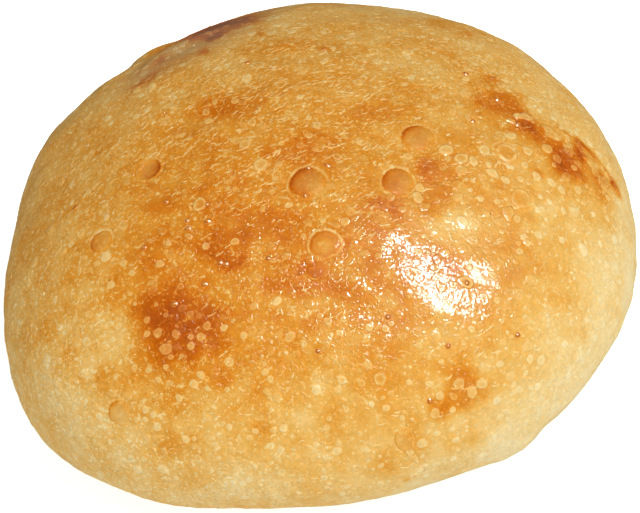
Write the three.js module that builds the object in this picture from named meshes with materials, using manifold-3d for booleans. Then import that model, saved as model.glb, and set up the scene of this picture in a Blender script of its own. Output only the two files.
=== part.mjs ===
// A round dinner roll with a blistered crust, as one solid.
// Millimetres, +Z up. The roll stands on its flat base at z = 0, with the middle of its box on the Z axis.
import * as THREE from "three";
import { mergeVertices } from "three/addons/utils/BufferGeometryUtils.js";
import Module from "manifold-3d";

// The risen dough: a low dome that tucks in under its widest line to a flat underside.
const RADIUS = 46; // mean radius at the widest line
const HEIGHT = 42; // crown above the base
const WIDEST_HEIGHT = 12.5; // widest line above the base
const BASE_RADIUS = 34; // edge of the underside
const SOLE_HEIGHT = 0.6; // flat sole that it was baked on and rests on, below the underside
const SOLE_SIDES = 24;

// Curve handles of the profile, as shares of the span that each one lies along.
const CROWN_HANDLE = 0.6;
const SIDE_HANDLE = 0.52;
const TUCK_HANDLE = 0.66;
const FOOT_HANDLE = 0.6;
const FOOT_LIFT = 1.4; // rise of the foot's handle above the underside

// How the plan departs from a circle: a number of lobes, their depth and the bearing of one of them in degrees.
const LOBES = [
  { count: 2, depth: 0.64, bearing: 0 },
  { count: 3, depth: 0.66, bearing: -28 },
  { count: 4, depth: 0.61, bearing: 35.5 },
  { count: 5, depth: 0.38, bearing: 1.6 },
  { count: 6, depth: 0.29, bearing: 27 },
  { count: 7, depth: 0.19, bearing: -10.7 },
];

// Places on the crust are a bearing in degrees, anticlockwise from +X, and the way down from the crown, measured
// over the crust. The length of what stands there runs round the roll and its width runs down the crust.
const FOLDS = [
  { bearing: 117, down: 29.5, length: 21, width: 7, rise: 0.8 }, // ridge of skin drawn over the far shoulder
  { bearing: 118.5, down: 39, length: 9, width: 7, rise: 0.75 }, // lump of dough that shows behind the ridge
  { bearing: 128, down: 40, length: 7, width: 10, rise: -0.4 }, // dip at the ridge's end
  { bearing: 299.5, down: 69, length: 12, width: 11, rise: 0.75 }, // soft corner low on the near side
];
const FOLD_HEART = 12; // height of the point on the axis that the folds swell away from

// Bubbles under the skin, each the cap of an ellipsoid whose middle is sunk in the dough.
const BUBBLE_SINK = 0.5; // depth of the ellipsoid's middle, as a share of its upright half axis
const BUBBLES = [
  { bearing: 274.5, down: 16.4, length: 5.2, width: 5.0, rise: 0.95 },
  { bearing: 329, down: 20, length: 4.6, width: 4.2, rise: 0.95 },
  { bearing: 306.5, down: 22.1, length: 4.2, width: 4.2, rise: 0.85 },
  { bearing: 274, down: 26.6, length: 4.4, width: 3.8, rise: 0.8 },
  { bearing: 270, down: 30, length: 2.8, width: 2.6, rise: 0.6 },
  { bearing: 205, down: 30.7, length: 3.4, width: 3.2, rise: 0.6 },
  { bearing: 227.5, down: 50.6, length: 3.2, width: 3.6, rise: 0.6 },
  { bearing: 314.5, down: 48.4, length: 3.2, width: 3.8, rise: 0.55 },
  { bearing: 326.5, down: 36.2, length: 3.2, width: 3.4, rise: 0.55 },
  { bearing: 337, down: 31.8, length: 3.6, width: 3.6, rise: 0.45 },
  { bearing: 351, down: 38.5, length: 3.4, width: 4.2, rise: 0.5 },
  { bearing: 348, down: 46, length: 4.4, width: 5.2, rise: 0.7 },
  { bearing: 278.5, down: 56, length: 2.4, width: 3.6, rise: 0.5 },
];
const PIT = { bearing: 194, down: 20.1, length: 3.4, width: 3.4, rise: -0.6 }; // a bubble that has fallen in

// Middling blisters, spread over the dome by a rule. The two steps fill a square evenly, with no two alike.
const BLISTER_COUNT = 84;
const BLISTER_ACROSS = [1.7, 2.8];
const BLISTER_RISE_SHARE = 0.17; // rise as a share of the width
const LAST_BLISTER_DOWN = 64;
const BEARING_STEP = 0.7548776662;
const DOWN_STEP = 0.569840291;
const SIZE_STEP = 0.6180339887;

// How finely the faces are cut.
const DOUGH_DETAIL = 15;
const BUBBLE_SEGMENTS = [12, 6];
const BLISTER_SEGMENTS = [7, 4];
const TANGENT_STEP = 0.01; // length over which a slope of the crust is measured

const wasm = await Module();
wasm.setup();

// Half the dough's section, from the crown over the side to the middle of the underside.
function sectionPath() {
  const domeRise = HEIGHT - WIDEST_HEIGHT;
  const undercut = RADIUS - BASE_RADIUS;
  const shoulder = WIDEST_HEIGHT + SIDE_HANDLE * domeRise;
  const tuck = WIDEST_HEIGHT * (1 - TUCK_HANDLE);
  const foot = BASE_RADIUS + FOOT_HANDLE * undercut;
  return new THREE.Path()
    .moveTo(0, HEIGHT)
    .bezierCurveTo(CROWN_HANDLE * RADIUS, HEIGHT, RADIUS, shoulder, RADIUS, WIDEST_HEIGHT)
    .bezierCurveTo(RADIUS, tuck, foot, SOLE_HEIGHT + FOOT_LIFT, BASE_RADIUS, SOLE_HEIGHT)
    .lineTo(0, SOLE_HEIGHT);
}

const section = sectionPath();
const sectionLength = section.getLength();

// Share of the mean radius that the plan has at an angle in radians.
function planShare(angle) {
  const depths = LOBES.map(({ count, depth, bearing }) => {
    const lobe = THREE.MathUtils.degToRad(bearing);
    return (depth / RADIUS) * Math.cos(count * (angle - lobe));
  });
  return 1 + depths.reduce((sum, depth) => sum + depth, 0);
}

// The rise of a fold at an angle, a length down from the crown and a radius: a soft bump over an ellipse.
function foldRise({ bearing, down: middle, length, width, rise }, angle, down, radius) {
  const turn = angle - THREE.MathUtils.degToRad(bearing);
  const around = (radius * Math.atan2(Math.sin(turn), Math.cos(turn))) / (length / 2);
  const along = (down - middle) / (width / 2);
  return rise * Math.max(0, 1 - around ** 2 - along ** 2) ** 2;
}

// The point of the crust, without its bubbles, at an angle and a length down from the crown.
function crustPoint(angle, down) {
  const { x: radius, y: height } = section.getPoint(down / sectionLength);
  const reach = radius * planShare(angle);
  const point = new THREE.Vector3(reach * Math.cos(angle), reach * Math.sin(angle), height);
  const rise = FOLDS.reduce((sum, fold) => sum + foldRise(fold, angle, down, radius), 0);
  const outward = point.clone().sub(new THREE.Vector3(0, 0, FOLD_HEART)).normalize();
  return point.addScaledVector(outward, rise);
}

// A frame that sits on the crust: X runs round the roll, Y up towards the crown and Z out of the crust.
function crustFrame(angle, down) {
  const origin = crustPoint(angle, down);
  const around = crustPoint(angle + TANGENT_STEP / RADIUS, down).sub(origin).normalize();
  const upward = crustPoint(angle, down - TANGENT_STEP).sub(origin).normalize();
  const outward = new THREE.Vector3().crossVectors(around, upward).normalize();
  upward.crossVectors(outward, around);
  return new THREE.Matrix4().makeBasis(around, upward, outward).setPosition(origin);
}

// A closed geometry as a solid that can be joined and cut.
function solidFrom(geometry) {
  geometry.deleteAttribute("normal");
  geometry.deleteAttribute("uv");
  const merged = mergeVertices(geometry, 1e-4);
  return new wasm.Manifold(
    new wasm.Mesh({
      numProp: 3,
      vertProperties: new Float32Array(merged.attributes.position.array),
      triVerts: new Uint32Array(merged.index.array),
    }),
  );
}

// The smooth dough: a geodesic ball, each of whose directions goes to its own place on the crust.
function doughSolid() {
  const geometry = new THREE.IcosahedronGeometry(1, DOUGH_DETAIL);
  const position = geometry.attributes.position;
  const direction = new THREE.Vector3();
  for (let i = 0; i < position.count; i += 1) {
    direction.fromBufferAttribute(position, i).normalize();
    const down = (Math.acos(THREE.MathUtils.clamp(direction.z, -1, 1)) / Math.PI) * sectionLength;
    const point = crustPoint(Math.atan2(direction.y, direction.x), down);
    position.setXYZ(i, point.x, point.y, point.z);
  }
  return solidFrom(geometry);
}

// The sole: a low disc whose upper half is buried in the dough.
function soleSolid() {
  const geometry = new THREE.CylinderGeometry(BASE_RADIUS, BASE_RADIUS - SOLE_HEIGHT, 2 * SOLE_HEIGHT, SOLE_SIDES);
  geometry.rotateX(Math.PI / 2).translate(0, 0, SOLE_HEIGHT);
  return solidFrom(geometry);
}

// The ellipsoid of a bubble. Its middle is sunk so that it meets the crust at a slant, over the size asked for.
// A bubble that has fallen in has a rise below zero, and its ellipsoid is the one that hollows out the crust.
function bubbleSolid({ bearing, down, length, width, rise }, [segments, rows]) {
  const upright = rise / (1 - BUBBLE_SINK);
  const spread = 0.5 / Math.sqrt(1 - BUBBLE_SINK ** 2);
  const geometry = new THREE.SphereGeometry(1, segments, rows);
  geometry.rotateX(Math.PI / 2);
  geometry.scale(length * spread, width * spread, Math.abs(upright));
  geometry.translate(0, 0, rise - upright);
  geometry.applyMatrix4(crustFrame(THREE.MathUtils.degToRad(bearing), down));
  return solidFrom(geometry);
}

// The middling blister of a number: its place and its size.
function blister(number) {
  const share = (step) => (number * step) % 1;
  const [least, most] = BLISTER_ACROSS;
  const across = THREE.MathUtils.lerp(least, most, share(SIZE_STEP) ** 2);
  return {
    bearing: 360 * share(BEARING_STEP),
    down: LAST_BLISTER_DOWN * Math.sqrt(share(DOWN_STEP)),
    length: across,
    width: across,
    rise: BLISTER_RISE_SHARE * across,
  };
}

// The whole roll as a geometry, moved so that the middle of its box is on the Z axis.
function rollGeometry() {
  const blisters = Array.from({ length: BLISTER_COUNT }, (_, i) => blister(i + 1));
  const joined = [
    soleSolid(),
    ...BUBBLES.map((bubble) => bubbleSolid(bubble, BUBBLE_SEGMENTS)),
    ...blisters.map((spot) => bubbleSolid(spot, BLISTER_SEGMENTS)),
  ];
  const solid = joined
    .reduce((roll, added) => roll.add(added), doughSolid())
    .subtract(bubbleSolid(PIT, BUBBLE_SEGMENTS));
  const { vertProperties, triVerts } = solid.getMesh();
  const geometry = new THREE.BufferGeometry()
    .setAttribute("position", new THREE.BufferAttribute(vertProperties, 3))
    .setIndex(new THREE.BufferAttribute(triVerts, 1));
  geometry.computeBoundingBox();
  const middle = geometry.boundingBox.getCenter(new THREE.Vector3());
  geometry.translate(-middle.x, -middle.y, 0);
  geometry.computeVertexNormals();
  return geometry;
}

const crust = new THREE.MeshStandardMaterial({ color: 0xdc9a3e, roughness: 0.42, metalness: 0 });
const roll = new THREE.Mesh(rollGeometry(), crust);
roll.name = "dinner_roll";

const part = new THREE.Group();
part.add(roll);

export default part;
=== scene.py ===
# %% [markdown]
# # A dinner roll and its blistered crust
#
# This lesson dresses one dinner roll, a small round loaf of slowly proved dough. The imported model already
# has its size and its form, as one plain solid. We lay a finer skin over that form, and give it what makes
# bread look like bread: bubbles, small blisters by the hundred, dried flakes and threads of skin, drops of
# caramel, and the colours and the oily shine that the oven leaves.

import bpy
import numpy as np
from mathutils import Matrix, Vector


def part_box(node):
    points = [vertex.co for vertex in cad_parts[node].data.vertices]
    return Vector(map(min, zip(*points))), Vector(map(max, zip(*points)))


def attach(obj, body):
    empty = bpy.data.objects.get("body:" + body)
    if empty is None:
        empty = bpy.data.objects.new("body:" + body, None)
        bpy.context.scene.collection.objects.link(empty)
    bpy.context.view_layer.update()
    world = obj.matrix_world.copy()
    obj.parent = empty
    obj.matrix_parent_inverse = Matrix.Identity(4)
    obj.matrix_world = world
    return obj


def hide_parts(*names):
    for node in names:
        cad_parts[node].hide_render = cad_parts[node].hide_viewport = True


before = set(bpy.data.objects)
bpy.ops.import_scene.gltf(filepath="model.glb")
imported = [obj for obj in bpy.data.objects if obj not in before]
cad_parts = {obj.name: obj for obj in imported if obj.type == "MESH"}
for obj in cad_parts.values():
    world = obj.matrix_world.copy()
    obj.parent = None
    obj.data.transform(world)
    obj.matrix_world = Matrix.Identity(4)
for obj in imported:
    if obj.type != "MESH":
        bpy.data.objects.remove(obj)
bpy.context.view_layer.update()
roll_low, roll_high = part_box("dinner_roll")
MM = 0.001  # metres in a millimetre; every size below is in millimetres until it goes into a mesh
print("packed nodes:", list(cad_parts))
print("packed roll, mm:", [round(side / MM, 1) for side in roll_high - roll_low])

# %% [markdown]
# ## The form of the dough
#
# A ball of dough that proves on a tray slumps into a low dome, widest a little above the tray, and tucks in
# to a flat sole. It could be sculpted, but a formula is easier to place things on. Half of its section is
# two cubic curves and the edge of the sole. A place on the crust is then two numbers: a bearing round the
# roll, and the way down from the crown measured over the crust.

# %% Half the section, from the crown to the edge of the sole
RADIUS = 46.0  # mean radius at the widest line
HEIGHT = 42.0  # crown above the table
WIDEST_HEIGHT = 12.5  # widest line above the table
BASE_RADIUS = 34.0  # where the dough meets the sole
SOLE_HEIGHT = 0.6
CROWN_HANDLE = 0.6  # the curves' handles, as shares of the spans that they lie along
SIDE_HANDLE = 0.52
TUCK_HANDLE = 0.66
FOOT_HANDLE = 0.6
FOOT_LIFT = 1.4  # rise of the foot's handle above the sole


def cubic_curve(corners, steps=400):
    """A cubic curve: its four corners weighted by (1-t)^3, 3t(1-t)^2, 3t^2(1-t) and t^3."""
    t = np.linspace(0, 1, steps)[:, None]
    weights = np.hstack([(1 - t) ** 3, 3 * t * (1 - t) ** 2, 3 * t**2 * (1 - t), t**3])
    return weights @ np.array(corners)


dome_corners = [
    (0, HEIGHT),
    (CROWN_HANDLE * RADIUS, HEIGHT),
    (RADIUS, WIDEST_HEIGHT + SIDE_HANDLE * (HEIGHT - WIDEST_HEIGHT)),
    (RADIUS, WIDEST_HEIGHT),
]
tuck_corners = [
    (RADIUS, WIDEST_HEIGHT),
    (RADIUS, WIDEST_HEIGHT * (1 - TUCK_HANDLE)),
    (BASE_RADIUS + FOOT_HANDLE * (RADIUS - BASE_RADIUS), SOLE_HEIGHT + FOOT_LIFT),
    (BASE_RADIUS, SOLE_HEIGHT),
]
sole_edge = [(BASE_RADIUS - SOLE_HEIGHT, 0)]
section = np.vstack([cubic_curve(dome_corners), cubic_curve(tuck_corners)[1:], sole_edge])
steps_down = np.linalg.norm(np.diff(section, axis=0), axis=1)
section_down = np.concatenate([[0], np.cumsum(steps_down)])
LAST_DOWN = section_down[-1]
print("crown to sole over the crust, mm:", round(LAST_DOWN, 1))

# %% [markdown]
# The plan isn't a true circle. A few cosine lobes make it as uneven as the real roll. Four soft swellings
# are the ridge that the skin was drawn into when the ball was shaped, the lump and the dip behind it, and a
# corner low on the near side.

# %% Plan, folds and the smooth dough
LOBES = [  # count, depth, bearing of one of them in degrees
    (2, 0.64, 0),
    (3, 0.66, -28),
    (4, 0.61, 35.5),
    (5, 0.38, 1.6),
    (6, 0.29, 27),
    (7, 0.19, -10.7),
]
FOLDS = [  # bearing in degrees, way down, length round the roll, width down the crust, rise
    (117, 29.5, 21, 7, 0.8),
    (118.5, 39, 9, 7, 0.75),
    (128, 40, 7, 10, -0.4),
    (299.5, 69, 12, 11, 0.75),
]
FOLD_HEART = np.array([0, 0, 12.0])  # the point on the axis that the folds swell away from


def unit(vectors):
    """Each vector divided by its own length."""
    return vectors / np.linalg.norm(vectors, axis=-1, keepdims=True)


def dough(bearing, down):
    """The section's radius and height at a way down, the radius scaled by the lobes at a bearing in
    radians, and then each fold's (1 - a^2 - b^2)^2 bump outwards from a heart on the axis."""
    bearing, down = np.broadcast_arrays(bearing, down)
    radius = np.interp(down, section_down, section[:, 0])
    height = np.interp(down, section_down, section[:, 1])
    waves = [depth / RADIUS * np.cos(count * (bearing - np.radians(at))) for count, depth, at in LOBES]
    reach = radius * (1 + sum(waves))
    point = np.stack([reach * np.cos(bearing), reach * np.sin(bearing), height], -1)
    swelling = np.zeros_like(radius)
    for at, middle, length, width, rise in FOLDS:
        turn = np.angle(np.exp(1j * (bearing - np.radians(at))))
        bump = 1 - (radius * turn / (length / 2)) ** 2 - ((down - middle) / (width / 2)) ** 2
        swelling = swelling + rise * np.maximum(0, bump) ** 2
    return point + unit(point - FOLD_HEART) * swelling[..., None]


print("crown of the dough, mm:", dough(np.zeros(1), np.zeros(1)).round(1).ravel())

# %% Frames on the crust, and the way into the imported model
def dough_on_map(east, north):
    """The dough on a flat map whose polar coordinates are the bearing and the way down."""
    return dough(np.arctan2(north, east), np.hypot(east, north))


def crust_frame(bearing, down, step=0.05):
    """The dough's point, with unit vectors round the roll, up the crust and out of it, from differences
    over a small step on the flat map."""
    x = down * np.cos(bearing)
    y = down * np.sin(bearing)
    east = dough_on_map(x + step, y) - dough_on_map(x - step, y)
    north = dough_on_map(x, y + step) - dough_on_map(x, y - step)
    outward = unit(np.cross(east, north))
    around = -np.sin(bearing)[..., None] * east + np.cos(bearing)[..., None] * north
    around = unit(around - outward * np.sum(around * outward, -1, keepdims=True))
    return dough(bearing, down), around, np.cross(outward, around), outward


ring_bearings = np.radians(np.arange(0, 360, 0.5))[:, None]
outline = dough(ring_bearings, section_down[None, ::5])[..., :2].reshape(-1, 2)
outline_middle = (outline.min(0) + outline.max(0)) / 2
roll_middle = np.array([(roll_low.x + roll_high.x) / 2, (roll_low.y + roll_high.y) / 2]) / MM
TO_FRAME = np.append(roll_middle - outline_middle, 0)
print("plan, mm:", np.ptp(outline, axis=0).round(1), "moved by", TO_FRAME.round(2))

# %% [markdown]
# ## What the photograph shows, and where
#
# Blisters and browned patches are where they are by chance, so their places are read off the photograph, as
# pixels. They could be projected from the camera, but then they would smear when seen from the side.
# Instead the camera is set up first, and for each pixel we look for the place on the crust that shows
# there.

# %% The photograph's camera
VIEW_BEARING = -90.0
VIEW_ELEVATION = 42.0
VIEW_ROLL = 12.0
VIEW_DISTANCE = 420.0
VIEW_ASIDE = 0.8  # the middle of the picture: this far to the right of the axis
VIEW_RAISE = -4.82  # and this far up the picture from a point on it
VIEW_AIM_HEIGHT = 0.45 * HEIGHT
IMAGE_SIZE = np.array([640, 513])
FOCAL_PIXELS = 2926.4


def toward(bearing, elevation):
    """The unit vector at a bearing and an elevation in degrees."""
    turn, tilt = np.radians([bearing, elevation])
    return np.array([np.cos(tilt) * np.cos(turn), np.cos(tilt) * np.sin(turn), np.sin(tilt)])


view_back = toward(VIEW_BEARING, VIEW_ELEVATION)
level_right = np.array([1.0, 0, 0])
level_up = np.cross(view_back, level_right)
aim = np.array([VIEW_ASIDE, 0, VIEW_AIM_HEIGHT]) + level_up * VIEW_RAISE + TO_FRAME
eye = aim + view_back * VIEW_DISTANCE
roll_turn = np.radians(VIEW_ROLL)
picture_right = np.cos(roll_turn) * level_right - np.sin(roll_turn) * level_up
picture_up = np.sin(roll_turn) * level_right + np.cos(roll_turn) * level_up


def project(points):
    """Pixels of points: their way right and down in the picture, divided by their depth."""
    offset = points + TO_FRAME - eye
    scale = FOCAL_PIXELS / -(offset @ view_back)
    way = np.stack([offset @ picture_right, -(offset @ picture_up)], -1)
    return IMAGE_SIZE / 2 + way * scale[..., None]


print("crown at pixel:", project(dough(np.zeros(1), np.zeros(1))).round(1).ravel())

# %% The crust behind a pixel
SEARCH_STEP = 0.05
SEARCH_ROUNDS = 8
LOOK_AHEAD = 3.0  # pixels between the two places that give a slant


def seen_at(pixels):
    """Bearings and ways down of what shows at pixels: the nearest of a grid of places that face the
    camera, then moved on the flat map by the gap in pixels divided by the slopes, a few times."""
    bearing, down = np.meshgrid(np.radians(np.arange(0, 360, 2)), np.arange(1, 76, 1.5))
    bearing = bearing.ravel()
    down = down.ravel()
    point, _, _, outward = crust_frame(bearing, down)
    faces_us = np.sum((eye - TO_FRAME - point) * outward, -1) > 0
    flat = np.stack([down * np.cos(bearing), down * np.sin(bearing)], -1)[faces_us]
    gaps = np.linalg.norm(project(point[faces_us])[None] - pixels[:, None], axis=-1)
    place = flat[gaps.argmin(1)]
    for _ in range(SEARCH_ROUNDS):
        here = project(dough_on_map(*place.T))
        east = project(dough_on_map(*(place + [SEARCH_STEP, 0]).T)) - here
        north = project(dough_on_map(*(place + [0, SEARCH_STEP]).T)) - here
        slopes = np.stack([east, north], -1) / SEARCH_STEP
        move = np.linalg.solve(slopes, (pixels - here)[..., None])[..., 0]
        place = place + np.clip(move, -1, 1)
    return np.arctan2(place[:, 1], place[:, 0]), np.hypot(place[:, 0], place[:, 1])


def places(rows):
    """Bearings and ways down of the crust behind the pixels in a table's first two columns."""
    return seen_at(np.array([row[:2] for row in rows], float))


def slanted(rows, column):
    """Turns, from the way round the roll, of marks with a slant in the picture, found by looking a little
    ahead."""
    pixels = np.array([row[:2] for row in rows], float)
    slants = np.radians([row[column] for row in rows])
    ahead = pixels + LOOK_AHEAD * np.stack([np.cos(slants), -np.sin(slants)], -1)
    middle, around, upward, _ = crust_frame(*seen_at(pixels))
    way = dough(*seen_at(ahead)) - middle
    return np.arctan2(np.sum(way * upward, -1), np.sum(way * around, -1))


print("middle of the photo is at bearing and way down:", np.round(places([IMAGE_SIZE / 2]), 1).ravel())

# %% [markdown]
# ## Small unevenness
#
# Even the smooth stretches of a crust are wavy, because gas lifts the skin more in one place than in the
# next. Noise could be a Displace modifier, but a handful of sine waves with seeded directions and phases is
# smooth, has a known wavelength, and can be asked for at any point, so that whatever sits on the crust
# follows it too.

# %% Waves in the skin
SEED = 20
WAVE_SEED = 222  # the waves that break the shine into a shape like the photo's
WAVES = [(15, 0.1), (6, 0.045), (2.4, 0.014)]  # wavelength, height
WAVES_FADE = 9  # how far above the sole's edge the waves start to fade
WAVES_END = 2  # and where they end


def smooth(start, end, value):
    """0 before start, 1 after end, and 3t^2 - 2t^3 between; start may be the larger."""
    t = np.clip((value - start) / (end - start), 0, 1)
    return t * t * (3 - 2 * t)


def ripple(points, wavelength, seed, waves=24):
    """Sines of about one wavelength, in seeded directions and phases, added up to a spread of about one."""
    draw = np.random.default_rng(seed)
    directions = unit(draw.normal(size=(waves, 3)))
    lengths = wavelength * draw.uniform(0.7, 1.4, (waves, 1))
    phases = draw.uniform(0, 2 * np.pi, waves)
    return np.sin(points @ (2 * np.pi * directions / lengths).T + phases).sum(-1) / np.sqrt(waves / 2)


def unevenness(points, down):
    """Waves of three lengths, fading out before the sole."""
    swell = 0
    for step, (wavelength, height) in enumerate(WAVES):
        swell = swell + height * ripple(points, wavelength, WAVE_SEED + step)
    return swell * smooth(LAST_DOWN - WAVES_END, LAST_DOWN - WAVES_FADE, down)


print("waves at the crown, mm:", unevenness(np.array([[0, 0, HEIGHT]]), np.zeros(1)).round(3))

# %% [markdown]
# ## How far each place is baked, and where shade and sheen are painted
#
# Colour on a crust is mostly one quantity, how far the place is baked: 0 is the pale foot and 1 is almost
# burnt. Painting that as a number on every vertex keeps the browned patches where they are from any side.
# The crown that faced the heat is golden, the sides and the foot are pale, and the patches are soft
# ellipses with ragged edges. A few patches are painted shade instead, in the groove behind the fold, and two
# are painted sheen beside the shine; the bubbles add painted shade in their creases. Two more numbers go
# with it: the calm, where the skin is smooth and glazed, and the dullness, where it has lifted and dried to
# a greyer brown; on the fold the dullness is painted shade.

# %% Browned patches, some of them painted shade and sheen, beads, calm spots and the fold's painted shade, as the photo shows them
GOLDEN_HEART = (256, 238)  # pixel at the middle of the golden crown
PALE_SIDE = np.array([0.7, -0.7])  # the side that was turned away from the heat, seen from above
GLAZED_SIDE = np.array([0.6, -0.8])  # the side where the crust is smoothest, seen from above
PATCHES = [  # pixel, length, width, slant in the picture in degrees, depth of the browning; marked rows hold painted shade and painted sheen instead
    (176, 327, 12, 10, 0, 0.27),
    (206, 310, 5, 4, 0, -0.07),
    (216, 106, 9, 5, 12, 0.17),
    (212, 146, 5, 3, 20, 0.08),
    (292, 46, 8, 4, 5, 0.12),
    (376, 112, 8, 4, 5, 0.09),
    (490, 79, 5, 4, -20, 0.18),
    (508, 104, 8, 6, -30, 0.28),
    (532, 130, 6, 5, -25, 0.14),
    (543, 138, 17, 9, -38, 0.07),
    (570, 165, 7, 8, -40, 0.32),
    (602, 186, 5, 7, -55, 0.2),
    (427, 170, 4, 4, 0, 0.16),
    (436, 264, 13, 9, -30, 0.08),
    (432, 206, 5, 4, 0, 0.12),
    (388, 204, 4, 3, 0, 0.13),
    (462, 394, 6, 7, 0, 0.28),
    (470, 432, 8, 5, 15, 0.09),
    (264, 222, 8, 6, -20, 0.1),
    (216, 248, 5, 6, 0, 0.18),
    (182, 240, 6, 5, 0, 0.08),
    (302, 272, 7, 4, 0, 0.03),
    # a paler middle for the bubble there, partly its own paler skin and partly a painted highlight
    (325, 246, 3, 2.4, 0, -0.1),
    (300, 288, 9, 3, 0, 0.06),
    (340, 288, 5, 3.5, -10, 0.12),
    (164, 206, 6, 4, 0, 0.13),
    (218, 377, 4, 3.5, 0, 0.13),
    (180, 403, 5, 4, 0, 0.09),
    (263, 424, 3.5, 7, 0, 0.12),
    (400, 458, 5, 11, -58, 0.12),
    (411, 478, 2.4, 1, 25, 0.2),
    (436, 22, 8, 6, -15, 0.14),
    # painted shade: this row and the next darken the groove behind the fold's crest, which faces away from
    # the light
    (201, 32, 15, 11, 27, 0.42),
    (230, 22, 11, 11, 18, 0.36),
    (156, 50, 6, 5, 30, 0.12),
    (145, 80, 6, 4, 30, 0.22),
    # painted shade in the band just below the fold's crest
    (152, 62, 8, 4, 30, 0.06),
    (590, 161, 8, 5, -50, 0.14),
    (586, 155, 4, 3, -40, 0.12),
    (122, 328, 6, 10, 0, -0.05),
    (296, 150, 8, 6, 0, 0.06),
    (240, 246, 6, 5, 0, 0.06),
    (118, 205, 10, 9, 0, -0.05),
    (70, 292, 9, 9, 0, -0.05),
    (152, 310, 6, 5, 0, 0.08),
    (14, 266, 8, 12, 0, 0.1),
    (575, 139, 6, 1.0, -35, 0.2),
    (591, 153, 5, 1.0, -50, 0.28),
    (606, 170, 5, 1.0, -55, 0.24),
    (615, 184, 5, 1.0, -60, 0.14),
    # painted sheen: a paler band below and left of the shine
    (302, 304, 9, 4, 0, -0.14),
    (386, 308, 6, 4, 0, -0.09),
    (338, 336, 7, 4, 0, -0.09),
    (438, 338, 6, 4, 0, -0.12),
    (60, 245, 10, 14, 0, -0.08),
    (100, 340, 13, 8, 20, -0.17),
    (246, 336, 6, 5, 0, -0.08),
    (186, 470, 8, 6, 0, -0.09),
    (76, 418, 17, 12, -50, -0.14),
    (146, 434, 6, 4, 0, -0.09),
    (250, 402, 14, 9, 0, -0.09),
    (308, 424, 5, 9, 0, -0.1),
    (412, 402, 5, 4, 0, -0.07),
    (210, 496, 12, 5, 0, -0.08),
    # painted sheen: the pale hazy plateau beside the shine
    (458, 224, 9, 6, 20, -0.18),
    (562, 212, 7, 5, 0, -0.09),
    (626, 265, 6, 14, 0, -0.1),
]
CALM_SPOTS = [  # pixel, length, width of smooth, glazed crust
    (250, 228, 7.5, 5.5),
    (152, 204, 3.4, 4),
    (513, 272, 3.2, 4),
    (442, 325, 3.2, 3.4),
    (150, 316, 4, 3.4),
    (360, 221, 3.4, 2.6),
    (458, 139, 4, 3),
]
BEADS = [  # pixels where sugar has boiled out
    (166, 202), (207, 205), (187, 221), (208, 222), (188, 229), (220, 263), (226, 264), (144, 248),
    (204, 284), (268, 258), (300, 273), (315, 276), (305, 196), (308, 168), (327, 165), (388, 317),
    (467, 283), (517, 335), (448, 346), (430, 401), (493, 77), (466, 74), (498, 98), (518, 124),
    (473, 121), (324, 49), (247, 62), (75, 208), (318, 351), (174, 304),
]
DULL_PLACES = [  # painted shade on the fold, where it faces away from the light: pixel, length, width, slant in the picture in degrees, share
    (206, 35, 26, 14, 27, 0.5),
    (158, 64, 14, 9, 30, 0.45),
]
golden_point = dough(*places([GOLDEN_HEART]))[0]
patch_frames = crust_frame(*places(PATCHES))
patch_turns = slanted(PATCHES, 4)
dull_frames = crust_frame(*places(DULL_PLACES))
dull_turns = slanted(DULL_PLACES, 4)
calm_frames = crust_frame(*places(CALM_SPOTS))
bead_points = dough(*places(BEADS))
print("patches:", len(PATCHES), "calm spots:", len(CALM_SPOTS), "beads:", len(BEADS))


# %% Ellipses on the crust
EDGE_POWER = 1.5  # how sharply a patch ends


def ridge(value, middle, width):
    """exp(-((v - m) / w)^2): 1 at the middle, and almost nothing two widths away."""
    return np.exp(-(((value - middle) / width) ** 2))


def ellipse_share(points, row, middle, around, upward):
    """Distance from the middle of an ellipse as a share of its own size, 1 at its edge; its length and
    width are the third and fourth numbers of its row."""
    offset = points - middle
    return np.hypot(offset @ around / (row[2] / 2), offset @ upward / (row[3] / 2))


def in_patch(points, ragged, row, turn, middle, around, upward):
    """exp(-(r e)^1.5), where e is the squared distance in a turned ellipse, 1 at its edge, and r makes it
    ragged."""
    along = np.cos(turn) * around + np.sin(turn) * upward
    across = np.cos(turn) * upward - np.sin(turn) * around
    offset = points - middle
    ellipse = (offset @ along / (row[2] / 2)) ** 2 + (offset @ across / (row[3] / 2)) ** 2
    return np.exp(-((ellipse * ragged) ** EDGE_POWER))


print("a ridge at its middle, one and two widths away:", ridge(np.arange(3), 0, 1).round(2))

# %% The bake of any place, with its painted shade and sheen
SIDE_BAKE = 0.3
CROWN_BAKE = 0.29  # how much further the golden crown is baked
CROWN_REACH = 44
PALE_FROM = 37  # way down where the crust starts to pale
PALE_TO = 74  # and where it is palest
PALING = 0.18  # how much less the foot is baked
PALING_ASIDE = 0.2  # and how much less again on the pale side
FOOT_BROWNING = 0.4  # the edge of the sole, browned by the tray
FOOT_WIDTH = 6
RAGGED_DEPTH = 0.35
RAGGED_WAVE = 5
RAGGED_LEAST = 0.3  # keeps a ragged edge from running out too far
BEAD_BAKE = 0.1
BEAD_SCORCH = 0.7  # how far the crust is scorched round a bead
BAKE_WAVES = [(11, 0.03, SEED + 4), (3.4, 0.022, SEED + 5)]  # wavelength, depth, seed


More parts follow.
